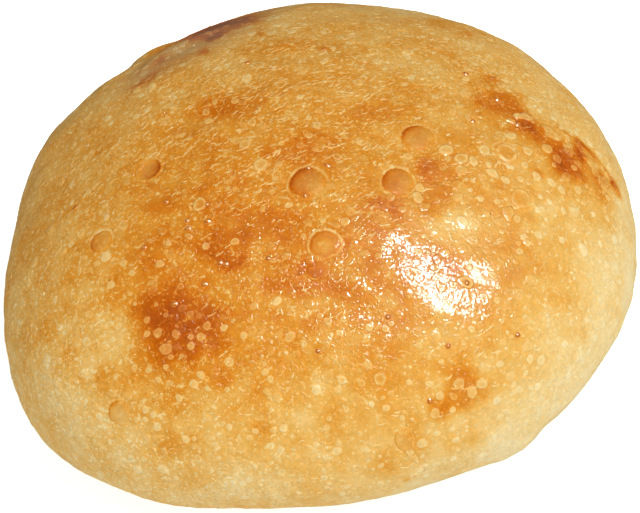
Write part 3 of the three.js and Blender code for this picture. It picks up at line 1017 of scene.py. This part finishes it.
def blister_piece(name, chosen, rise_share, shares, sides, seed):
    """Caps at the chosen places, a little out of round; the listed ones are the palest and keep their own
    form."""
    count = len(chosen)
    across = blister_across[chosen]
    listed = chosen < len(DISCS)
    row = disc_table[np.minimum(chosen, len(DISCS) - 1)]
    stretch = draw.uniform(*STRETCHES, count)
    spread = np.where(across > 1.35, 0.25, 0.8)
    is_ring = draw.uniform(0, 1, count) < RINGED_SHARE
    ringed = np.where(is_ring, draw.uniform(*RING_DISHES, count), draw.uniform(*DOME_DISHES, count))
    turns = draw.uniform(0, np.pi, count)
    rises = rise_share * across * draw.uniform(*RISE_SPREAD, count)
    listed_paleness = draw.uniform(*LISTED_PALENESS, count)
    unlisted_paleness = LEAST_PALENESS + spread * draw.uniform(0, 1, count)
    return make_caps(
        name,
        (blister_bearing[chosen], blister_down[chosen]),
        np.stack([across * stretch, across / stretch], -1),
        turns,
        rises,
        np.where(listed, row[:, 3], ringed),
        np.where(listed, listed_paleness, unlisted_paleness),
        calm=BLISTER_CALM,
        shares=shares,
        sides=sides,
        waver=0.13,
        seed=seed,
    )


blisters = blister_piece(
    "blisters", kept[large], rise_share=0.045, shares=(0.4, 0.7, 0.87, 1), sides=12, seed=SEED + 7
)
fine_blisters = blister_piece(
    "fine_blisters", kept[~large], rise_share=0.085, shares=(0.4, 0.75, 1), sides=8, seed=SEED + 12
)

# %% [markdown]
# ## Flakes
#
# Where the skin tore and lifted it leaves thin flakes with a raised edge, most of them on the upper right.
# They could be cut from the skin, but the same caps do, with a sunk middle: larger, with more sides and a
# much more ragged outline.

# %% Flakes at their places
FLAKES = [  # pixel, length, width, slant in the picture in degrees, paleness
    (524, 116, 3.4, 2.0, -15, 1.1),
    (512, 121, 1.8, 1.2, -30, 0.8),
    (551, 134, 3.4, 2.8, -60, 0.62),
    (508, 167, 2.0, 1.2, -30, 0.8),
    (569, 150, 2.8, 2.4, 80, 0.5),
    (580, 147, 2.4, 1.8, -40, 0.35),
    (587, 158, 2.2, 2.0, -45, 0.2),
    (594, 167, 3.2, 2.6, -65, 0.45),
    (604, 182, 3.4, 2.9, -45, 0.55),
    (613, 195, 2.8, 1.6, -60, 0.5),
    (578, 164, 1.8, 1.6, 0, 0.5),
    (136, 89, 2.0, 1.6, 70, 0.6),
    (152, 88, 2.2, 1.7, 60, 0.6),
    (416, 474, 3.0, 1.5, 50, 0.6),
    (412, 455, 3.0, 1.4, -50, 0.6),
]
FLAKE_RISE = 0.2
flake_table = np.array(FLAKES, float)
flake_count = len(FLAKES)
flakes = make_caps(
    "flakes",
    places(FLAKES),
    flake_table[:, 2:4],
    slanted(FLAKES, 4),
    np.full(flake_count, FLAKE_RISE),
    draw.uniform(0.1, 0.5, flake_count),
    flake_table[:, 5],
    shares=(0.35, 0.65, 0.85, 1),
    sides=20,
    waver=0.36,
    seed=SEED + 8,
)

# %% [markdown]
# ## Threads
#
# The driest skin cracks into short pale threads, thickest behind the crown, where they lie side by side,
# the way that the dough was drawn. They could be hair, but mesh exports as it is. They are long thin caps,
# a little bent and turned the same way with some scatter.

# %% Threads across the crown
THREAD_COUNT = 1900
THREAD_HEART = (262, 108)  # pixel where they are thickest
THREAD_REACH = 19
TRIES_EACH = 6  # places drawn for each thread, most of which are turned down
THREADED_AREA = 0.85  # share of the crust's area, from the crown, that has threads
THREAD_THIN = 0.06  # share of the places that is taken far from the heart
THREAD_DENSE = 0.7  # and how much more of them at the heart
THREAD_MARGIN = 1.25
THREAD_LENGTHS = (0.7, 2.0)  # least and most, as in the other pairs
THREAD_WIDTHS = (0.2, 0.36)
THREAD_RISES = (0.02, 0.05)
THREAD_PALENESS = (0.6, 1.2)
THREAD_SCATTER = 0.3  # spread of their turns, in radians
THREAD_BEND = 0.22  # spread of their bends, as a share of the length
DRAWN_WAY = np.array([0.95, 0.33, 0])  # the way that the skin was drawn when the roll was shaped


def thread_places(count):
    """Bearings and ways down, dense round the threads' heart and thin elsewhere."""
    heart = dough(*places([THREAD_HEART]))[0]
    tries = TRIES_EACH * count
    bearing = draw.uniform(0, 2 * np.pi, tries)
    down = np.interp(draw.uniform(0, THREADED_AREA, tries) * area_down[-1], area_down, section_down)
    away = np.linalg.norm(dough(bearing, down) - heart, axis=1)
    wanted = THREAD_THIN + THREAD_DENSE * ridge(away, 0, THREAD_REACH)
    chosen = draw.uniform(0, 1, tries) < wanted
    return bearing[chosen][:count], down[chosen][:count]


thread_bearing, thread_down = thread_places(THREAD_COUNT)
clear = clear_of_bubbles(dough(thread_bearing, thread_down), THREAD_MARGIN)
thread_bearing = thread_bearing[clear]
thread_down = thread_down[clear]
_, thread_around, thread_upward, _ = crust_frame(thread_bearing, thread_down)
thread_count = len(thread_down)
drawn_turn = np.arctan2(thread_upward @ DRAWN_WAY, thread_around @ DRAWN_WAY)
thread_length = draw.uniform(*THREAD_LENGTHS, thread_count)
threads = make_caps(
    "threads",
    (thread_bearing, thread_down),
    np.stack([thread_length, draw.uniform(*THREAD_WIDTHS, thread_count)], -1),
    drawn_turn + draw.normal(0, THREAD_SCATTER, thread_count),
    draw.uniform(*THREAD_RISES, thread_count),
    np.zeros(thread_count),
    draw.uniform(*THREAD_PALENESS, thread_count),
    bends=THREAD_BEND * thread_length * draw.normal(0, 1, thread_count),
    shares=(0.6, 1),
    waver=0.12,
    seed=SEED + 9,
)

# %% [markdown]
# ## Beads of caramel
#
# Here and there sugar has boiled out of a pinhole and set as a glassy bead, golden in the middle with a
# darker edge. Dots of paint would do from afar, but beads catch the light, so they are real drops. A few
# more are seeded on the far side.

# %% Beads at their places
SEEDED_BEADS = 12
FAR_BEARINGS = (0.35, 0.75)  # in half turns; least and most, as in the other pairs
FAR_DOWNS = (48, 64)
BEAD_SIZES = (0.7, 1.05)
BEAD_STRETCHES = (0.85, 1.2)
BEAD_RISE_SHARE = 0.26
bead_bearing, bead_down = places(BEADS)
bead_bearing = np.append(bead_bearing, draw.uniform(*FAR_BEARINGS, SEEDED_BEADS) * np.pi)
bead_down = np.append(bead_down, draw.uniform(*FAR_DOWNS, SEEDED_BEADS))
bead_count = len(bead_down)
bead_across = draw.uniform(*BEAD_SIZES, bead_count)
beads = make_caps(
    "beads",
    (bead_bearing, bead_down),
    np.stack([bead_across, bead_across * draw.uniform(*BEAD_STRETCHES, bead_count)], -1),
    draw.uniform(0, np.pi, bead_count),
    BEAD_RISE_SHARE * bead_across,
    np.zeros(bead_count),
    np.ones(bead_count),
    shares=(0.35, 0.65, 0.87, 1),
    sides=12,
    waver=0.05,
    seed=SEED + 10,
)

# %% [markdown]
# ## The colours of the oven
#
# Baking runs through one row of colours: cream, straw, gold, amber, chestnut and almost black. A painted
# texture could hold them, but a colour ramp driven by the bake gives that row at any size. Noise of several
# sizes moves the bake up and down a little, so that the colour is mottled as a crust is, with pale flecks
# and squiggles where the skin has dried. All the crust's materials need this, so it is a node group, with
# the bake, which also carries painted shade and sheen, the paleness, the calm and the dullness, which also
# carries painted shade on the fold, as its inputs.

# %% Helpers for nodes
def linear(red, green, blue):
    """A colour of 0 to 255 as the eye's sRGB, turned to the linear light that shaders use."""
    share = np.array([red, green, blue]) / 255
    light = np.where(share <= 0.04045, share / 12.92, ((share + 0.055) / 1.055) ** 2.4)
    return (*light.tolist(), 1.0)


def add_node(tree, kind, sockets=None, **settings):
    """A new node with its settings; each socket is given a value, or linked if the value is a socket."""
    made = tree.nodes.new(kind)
    for name, value in settings.items():
        setattr(made, name, value)
    for key, value in (sockets or {}).items():
        if isinstance(value, bpy.types.NodeSocket):
            tree.links.new(value, made.inputs[key])
        else:
            made.inputs[key].default_value = value
    return made


def work_out(tree, operation, first, second=0.0):
    """The result of one sum on two values or sockets."""
    return add_node(tree, "ShaderNodeMath", {0: first, 1: second}, operation=operation).outputs[0]


def ease(tree, value, start, end, low=0.0, high=1.0):
    """A value's smooth step from low to high between start and end."""
    sockets = {"Value": value, "From Min": start, "From Max": end, "To Min": low, "To Max": high}
    return add_node(tree, "ShaderNodeMapRange", sockets, interpolation_type="SMOOTHSTEP").outputs["Result"]


def noise(tree, place, scale, detail=2.0, roughness=0.5, distortion=0.0):
    """Noise of a size, about 0.5 in the middle."""
    sockets = {"Vector": place, "Scale": scale, "Detail": detail}
    sockets.update({"Roughness": roughness, "Distortion": distortion})
    return add_node(tree, "ShaderNodeTexNoise", sockets).outputs["Fac"]


def lean(tree, value, amount):
    """A noise's distance from its middle, times an amount."""
    return work_out(tree, "MULTIPLY", work_out(tree, "SUBTRACT", value, 0.5), amount)


print("middle grey as linear light:", round(linear(128, 128, 128)[0], 3))

# %% Helpers for colours and groups
FIRST_COLOUR = 6  # the places of a Mix node's colour sockets
SECOND_COLOUR = 7
MIXED_COLOUR = 2


def blend(tree, share, first, second):
    """Two colours mixed by a share."""
    sockets = {"Factor": share, FIRST_COLOUR: first, SECOND_COLOUR: second}
    mixer = add_node(tree, "ShaderNodeMix", sockets, data_type="RGBA", clamp_factor=True)
    return mixer.outputs[MIXED_COLOUR]


def colour_on_row(tree, value, row):
    """The colour that a value has on a row of positions and colours."""
    ramp = add_node(tree, "ShaderNodeValToRGB", {"Fac": value})
    elements = ramp.color_ramp.elements
    while len(elements) < len(row):
        elements.new(0.5)
    for element, (position, colour) in zip(elements, row):
        element.position = position
        element.color = linear(*colour)
    return ramp.outputs["Color"]


def new_group(name, inputs, outputs):
    """An empty group with number inputs and outputs of given kinds, its inputs' sockets, and the place of
    the shaded point on the piece."""
    group = bpy.data.node_groups.new(name, "ShaderNodeTree")
    for socket in inputs:
        group.interface.new_socket(socket, in_out="INPUT", socket_type="NodeSocketFloat")
    for socket, kind in outputs.items():
        group.interface.new_socket(socket, in_out="OUTPUT", socket_type=kind)
    taken = group.nodes.new("NodeGroupInput").outputs
    return group, taken, group.nodes.new("ShaderNodeTexCoord").outputs["Object"]


def give(group, results):
    """Links results to the group's outputs of the same names."""
    given = group.nodes.new("NodeGroupOutput")
    for name, socket in results.items():
        group.links.new(socket, given.inputs[name])


# %% What moves the bake up and down
CLOUDS = (260, 3, 0.6)  # noises: scale, the number in a metre, then detail, roughness and distortion
MOTTLE = (1000, 3, 0.6)
GRAIN = (3600, 2, 0.6)
FLECKS = (1900, 2, 0.6, 0.4)
SPECKS = (2700, 1, 0.5)
BRIGHTNESS = (1500, 2, 0.6)
SQUIGGLES = [(650, 0.5), (1200, 0.52)]  # scale, and the mottling from which they show
SQUIGGLE_WIDTH = 0.026
CLOUD_DEPTH = 0.14
MOTTLE_DEPTH = 0.3
GRAIN_DEPTH = 0.14
SPECK_DEPTH = 0.16
DRIED_DEPTH = 0.24
BAKE_SHIFT = 0.035


def dried_skin(group, place, mottle):
    """Flecks where one noise is high, and squiggles where others pass their middle, in mottled places."""
    dried = ease(group, noise(group, place, *FLECKS), 0.56, 0.66)
    for scale, gate in SQUIGGLES:
        line = work_out(group, "SUBTRACT", noise(group, place, scale, 2, 0.6, 0.9), 0.5)
        line = ease(group, work_out(group, "ABSOLUTE", line), SQUIGGLE_WIDTH, 0.0)
        line = work_out(group, "MULTIPLY", line, ease(group, mottle, gate, gate + 0.08))
        dried = work_out(group, "MAXIMUM", dried, line)
    return dried


def bake_shift(group, place, mottle, dried, busy):
    """Mottling, grain and dark specks, less the dried skin, all by how busy the place is, plus clouds."""
    grain = lean(group, noise(group, place, *GRAIN), GRAIN_DEPTH)
    shift = work_out(group, "ADD", lean(group, mottle, MOTTLE_DEPTH), grain)
    specks = ease(group, noise(group, place, *SPECKS), 0.32, 0.22, 0.0, SPECK_DEPTH)
    shift = work_out(group, "ADD", shift, specks)
    shift = work_out(group, "SUBTRACT", shift, work_out(group, "MULTIPLY", dried, DRIED_DEPTH))
    clouds = lean(group, noise(group, place, *CLOUDS), CLOUD_DEPTH)
    shift = work_out(group, "ADD", work_out(group, "MULTIPLY", shift, busy), clouds)
    return work_out(group, "ADD", shift, BAKE_SHIFT)


print("mottling and grain, mm:", round(1 / MOTTLE[0] / MM, 2), round(1 / GRAIN[0] / MM, 2))

# %% The oven colour group
OVEN_ROW = [
    (0.0, (252, 234, 184)),
    (0.2, (248, 214, 142)),
    (0.38, (242, 186, 92)),
    (0.54, (232, 153, 45)),
    (0.68, (219, 121, 16)),
    (0.84, (194, 89, 6)),
    (1.0, (148, 66, 12)),
]
DRY_CREAM = (253, 234, 190)
# a greyer brown, for dull skin and for the painted shade on the fold
DULL_SKIN = (172, 136, 106)
CALM_BUSY = 0.1  # how busy the calmest place still is
PALE_KEEP = 0.71  # share of its bake that the palest skin keeps
PALE_DROP = 0.09  # and how much less it is baked besides
PALE_CREAM = 0.13  # how far the palest skin leans to cream
DRIED_CREAM = 0.03
BRIGHTNESS_DEPTH = 0.3


def oven_colour_group():
    """Bake, paleness, calm and dullness in, colour out; the bake carries painted shade and sheen too, and
    the dullness painted shade on the fold. The bake is moved by noise, lowered by the paleness and looked up
    on the row. Dried and pale skin then leans to cream, dull skin and painted shade to a greyer brown, and
    the brightness varies a little."""
    inputs = ("Bake", "Pale", "Calm", "Dull")
    group, taken, place = new_group("Oven colour", inputs, {"Color": "NodeSocketColor"})
    mottle = noise(group, place, *MOTTLE)
    busy = ease(group, taken["Calm"], 0.0, 1.0, 1.0, CALM_BUSY)
    dried = dried_skin(group, place, mottle)
    bake = work_out(group, "ADD", taken["Bake"], bake_shift(group, place, mottle, dried, busy))
    bake = work_out(group, "MULTIPLY", bake, ease(group, taken["Pale"], 0.0, 1.0, 1.0, PALE_KEEP))
    bake = work_out(group, "SUBTRACT", bake, work_out(group, "MULTIPLY", taken["Pale"], PALE_DROP))
    colour = colour_on_row(group, bake, OVEN_ROW)
    creamy = work_out(group, "MULTIPLY", work_out(group, "MULTIPLY", dried, busy), DRIED_CREAM)
    creamy = work_out(group, "ADD", creamy, work_out(group, "MULTIPLY", taken["Pale"], PALE_CREAM))
    colour = blend(group, creamy, colour, linear(*DRY_CREAM))
    # dull skin, and the painted shade on the fold, lean to a greyer brown
    colour = blend(group, taken["Dull"], colour, linear(*DULL_SKIN))
    brighter = work_out(group, "ADD", lean(group, noise(group, place, *BRIGHTNESS), BRIGHTNESS_DEPTH), 1.0)
    sockets = {"Vector": colour, "Scale": brighter}
    uneven = add_node(group, "ShaderNodeVectorMath", sockets, operation="SCALE")
    give(group, {"Color": uneven.outputs["Vector"]})
    return group


oven_colour = oven_colour_group()
print("oven colours:", len(OVEN_ROW), "nodes:", len(oven_colour.nodes))

# %% [markdown]
# The skin's grain is too fine for the mesh: it is a fifth of a millimetre of puckers, dimples and pimples,
# and it breaks the shine into sparkles. A second group gives it as a height, for each material's Bump
# nodes, with the calm places left smooth. It also says where oil stands in drops, and how rough the skin
# is.

# %% The crust grain group
PUCKERS = (2000, 0, 0.5)
DIMPLES = (900, 1, 0.5)
PIMPLES = (2600, 0, 0.5)
OIL_DROPS = (3800, 1, 0.5, 0.5)
GLOSS = (330, 2, 0.6)
PUCKER_SHARE = 0.52
DIMPLE_SHARE = 0.6
PIMPLE_SHARE = 0.6
CALM_GRAIN = 0.3  # share of the grain's height that the calmest place keeps
ROUGHNESS = (0.34, 0.5)  # of the smoothest and the roughest skin


def crust_grain_group():
    """Calm in, height, roughness and oil out: the height adds three noises, less where it is calm; oil is
    where a fine noise is high, on every pimple, and all over calm places."""
    kinds = dict.fromkeys(("Height", "Roughness", "Oil"), "NodeSocketFloat")
    group, taken, place = new_group("Crust grain", ("Calm",), kinds)
    puckers = work_out(group, "MULTIPLY", noise(group, place, *PUCKERS), PUCKER_SHARE)
    dimples = work_out(group, "MULTIPLY", noise(group, place, *DIMPLES), DIMPLE_SHARE)
    pimples = ease(group, noise(group, place, *PIMPLES), 0.58, 0.72)
    height = work_out(group, "ADD", puckers, dimples)
    height = work_out(group, "ADD", height, work_out(group, "MULTIPLY", pimples, PIMPLE_SHARE))
    height = work_out(group, "MULTIPLY", height, ease(group, taken["Calm"], 0.3, 1.0, 1.0, CALM_GRAIN))
    oil = ease(group, noise(group, place, *OIL_DROPS), 0.52, 0.56)
    oil = work_out(group, "MAXIMUM", oil, ease(group, taken["Calm"], 0.5, 0.65))
    oil = work_out(group, "MAXIMUM", oil, pimples)
    roughness = ease(group, noise(group, place, *GLOSS), 0.3, 0.7, *ROUGHNESS)
    give(group, {"Height": height, "Roughness": roughness, "Oil": oil})
    return group


crust_grain = crust_grain_group()
print("grain nodes:", len(crust_grain.nodes))

# %% [markdown]
# ## Materials
#
# A crust shines because fat and steam leave a thin oily film on it. That film could be the shader's own
# gloss, but then the crumb below would lose its colour. So it is a coat: oil where the grain puts it, none
# towards the rim of the view, where it would turn grey, and less on blisters, which have dried. Bubbles are
# drier still. The coat takes the full grain, and the crumb under it a softer one, as light spreads there.

# %% The baked crust
SOFT_SHARE = 0.4  # share of the grain that shades the crumb under the coat
RIM_FADE = (0.4, 0.75)  # how far a face turns away where the coat starts to fade, and where it ends
DRY_OIL = 0.35  # share of its oil that the palest skin keeps


def attribute(tree, name):
    """A number that is kept on the vertices."""
    return add_node(tree, "ShaderNodeAttribute", attribute_name=name).outputs["Fac"]


def baked_material(name, grain_depth, oily=1.0):
    """Oven colour and crust grain on a shader with an oily coat that is broken by the grain."""
    material = bpy.data.materials.new(name)
    material.use_nodes = True
    tree = material.node_tree
    shader = tree.nodes["Principled BSDF"]
    colour = add_node(tree, "ShaderNodeGroup", node_tree=oven_colour)
    for key in ("Bake", "Pale", "Calm", "Dull"):
        tree.links.new(attribute(tree, key.lower()), colour.inputs[key])
    grain = add_node(tree, "ShaderNodeGroup", {"Calm": attribute(tree, "calm")}, node_tree=crust_grain)
    tree.links.new(colour.outputs["Color"], shader.inputs["Base Color"])
    tree.links.new(grain.outputs["Roughness"], shader.inputs["Roughness"])
    for key, share in (("Normal", SOFT_SHARE), ("Coat Normal", 1)):
        sockets = {"Height": grain.outputs["Height"], "Distance": share * grain_depth * MM}
        bump = add_node(tree, "ShaderNodeBump", sockets)
        tree.links.new(bump.outputs["Normal"], shader.inputs[key])
    facing = tree.nodes.new("ShaderNodeLayerWeight").outputs["Facing"]
    coat = work_out(tree, "MULTIPLY", grain.outputs["Oil"], ease(tree, facing, *RIM_FADE, 1.0, 0.0))
    dried = ease(tree, attribute(tree, "pale"), 0.0, 1.0, oily, DRY_OIL * oily)
    tree.links.new(work_out(tree, "MULTIPLY", coat, dried), shader.inputs["Coat Weight"])
    shader.inputs["Specular IOR Level"].default_value = 0.045
    shader.inputs["Coat Roughness"].default_value = 0.08
    return material


crust_finish = baked_material("baked_crust", 0.075)
bubble_finish = baked_material("bubble_skin", 0.075, oily=0.2)
blister_finish = baked_material("blister_skin", 0.06)
print("nodes in a finish:", len(crust_finish.node_tree.nodes))

# %% Caramel
CARAMEL_ROW = [(0.8, (232, 150, 60)), (0.95, (160, 68, 8))]  # thin sugar, thick sugar


def caramel_material():
    """Glassy sugar on a row of two colours, looked up by the paleness and a little noise."""
    material = bpy.data.materials.new("caramel")
    material.use_nodes = True
    tree = material.node_tree
    shader = tree.nodes["Principled BSDF"]
    place = tree.nodes.new("ShaderNodeTexCoord").outputs["Object"]
    thick = work_out(tree, "ADD", attribute(tree, "pale"), lean(tree, noise(tree, place, 2000, 1), 0.15))
    tree.links.new(colour_on_row(tree, thick, CARAMEL_ROW), shader.inputs["Base Color"])
    shader.inputs["Roughness"].default_value = 0.3
    shader.inputs["Specular IOR Level"].default_value = 0.1
    shader.inputs["Coat Weight"].default_value = 1.0
    shader.inputs["Coat Roughness"].default_value = 0.06
    return material


caramel_finish = caramel_material()
print("nodes in the caramel:", len(caramel_finish.node_tree.nodes))

# %% Finishes on the pieces, and the body they ride on
for piece, finish in [
    (crust, crust_finish),
    (bubbles, bubble_finish),
    (blisters, blister_finish),
    (fine_blisters, blister_finish),
    (flakes, blister_finish),
    (threads, blister_finish),
    (beads, caramel_finish),
]:
    piece.data.materials.append(finish)
    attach(piece, "root")
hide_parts("dinner_roll")
print("materials:", [material.name for material in bpy.data.materials])

# %% [markdown]
# ## Floor, light and camera
#
# The roll lies on a plain white table. A window would light it from one side. Here one lamp high on the
# right is seen in the coat alone and makes the shine, a soft key light behind it and a low one on the left
# light the crust, and a dim even sky does the rest. The camera looks down at 42 degrees, a little rolled.

# %% A white table
FLOOR_HALF = 3.0  # metres
FLOOR_LEVEL = -0.05 * MM  # just under the sole, so that the two do not share a plane
FLOOR_CORNERS = [(-1, -1), (1, -1), (1, 1), (-1, 1)]
TABLE_GLOW = 0.82


def table_top():
    """One large square just under the sole, white and faintly glowing as an overexposed table does."""
    mesh = bpy.data.meshes.new("table_top")
    corners = [(FLOOR_HALF * x, FLOOR_HALF * y, FLOOR_LEVEL) for x, y in FLOOR_CORNERS]
    mesh.from_pydata(corners, [], [(0, 1, 2, 3)])
    material = bpy.data.materials.new("white_table")
    material.use_nodes = True
    tree = material.node_tree
    shader = tree.nodes["Principled BSDF"]
    shader.inputs["Base Color"].default_value = linear(246, 246, 244)
    shader.inputs["Roughness"].default_value = 0.6
    shader.inputs["Emission Color"].default_value = linear(255, 255, 252)
    seen = tree.nodes.new("ShaderNodeLightPath").outputs["Is Camera Ray"]
    tree.links.new(work_out(tree, "MULTIPLY", seen, TABLE_GLOW), shader.inputs["Emission Strength"])
    mesh.materials.append(material)
    floor = bpy.data.objects.new("table_top", mesh)
    floor.visible_glossy = False
    bpy.context.scene.collection.objects.link(floor)


table_top()
print("table, m:", 2 * FLOOR_HALF, "square")

# %% Lamps
LAMPS = [  # name, bearing, elevation, distance, width and height in metres, watts, colour, for the shine
    ("shine", -38, 57, 0.6, (0.23, 0.35), 16, (255, 253, 250), True),
    ("key", -45, 54, 1.2, (0.5, 0.5), 10.5, (255, 254, 250), False),
    ("side", -155, 15, 1.2, (0.5, 0.5), 3.6, (255, 254, 250), False),
]


def lamp_frame(right, up, back, place):
    """The matrix of a lamp or a camera from its three directions and its place."""
    return Matrix([*np.column_stack([right, up, back, place]).tolist(), [0, 0, 0, 1]])


def area_light(name, bearing, elevation, distance, size, watts, colour, shines):
    """A lamp at a bearing and an elevation from the roll's heart, facing it. One for the shine shows only
    in reflections, and the others only light the crust."""
    light = bpy.data.lights.new(name, "AREA")
    light.shape = "RECTANGLE"
    light.size, light.size_y = size
    light.energy = watts
    light.color = linear(*colour)[:3]
    lamp = bpy.data.objects.new(name, light)
    lamp.visible_camera = False
    lamp.visible_diffuse = not shines
    lamp.visible_glossy = shines
    back = toward(bearing, elevation)
    right = unit(np.cross([0, 0, 1], back))
    place = back * distance + np.array([0, 0, HEIGHT / 2 * MM])
    lamp.matrix_world = lamp_frame(right, np.cross(back, right), back, place)
    bpy.context.scene.collection.objects.link(lamp)


for lamp_row in LAMPS:
    area_light(*lamp_row)
print("lights:", [light.name for light in bpy.data.lights])

# %% Sky
SKY_STRENGTH = 0.2
SKY_SHINE = 0.3  # share of the sky that shows in the crust's reflections

world = bpy.data.worlds.new("even_sky")
world.use_nodes = True
sky = world.node_tree.nodes["Background"]
sky.inputs["Color"].default_value = linear(255, 254, 252)
is_glossy = world.node_tree.nodes.new("ShaderNodeLightPath").outputs["Is Glossy Ray"]
dimmed = ease(world.node_tree, is_glossy, 0.0, 1.0, SKY_STRENGTH, SKY_STRENGTH * SKY_SHINE)
world.node_tree.links.new(dimmed, sky.inputs["Strength"])
bpy.context.scene.world = world
bpy.context.scene.view_settings.view_transform = "Standard"
print("sky, and in reflections:", SKY_STRENGTH, round(SKY_STRENGTH * SKY_SHINE, 3))

# %% Camera
SENSOR = 36.0  # millimetres

lens = bpy.data.cameras.new("camera")
lens.sensor_fit = "HORIZONTAL"
lens.sensor_width = SENSOR
lens.lens = FOCAL_PIXELS / IMAGE_SIZE[0] * SENSOR
lens.clip_start = 0.01
camera = bpy.data.objects.new("camera", lens)
camera.matrix_world = lamp_frame(picture_right, picture_up, view_back, eye * MM)
bpy.context.scene.collection.objects.link(camera)
bpy.context.scene.camera = camera
print("lens, mm:", round(lens.lens, 1))
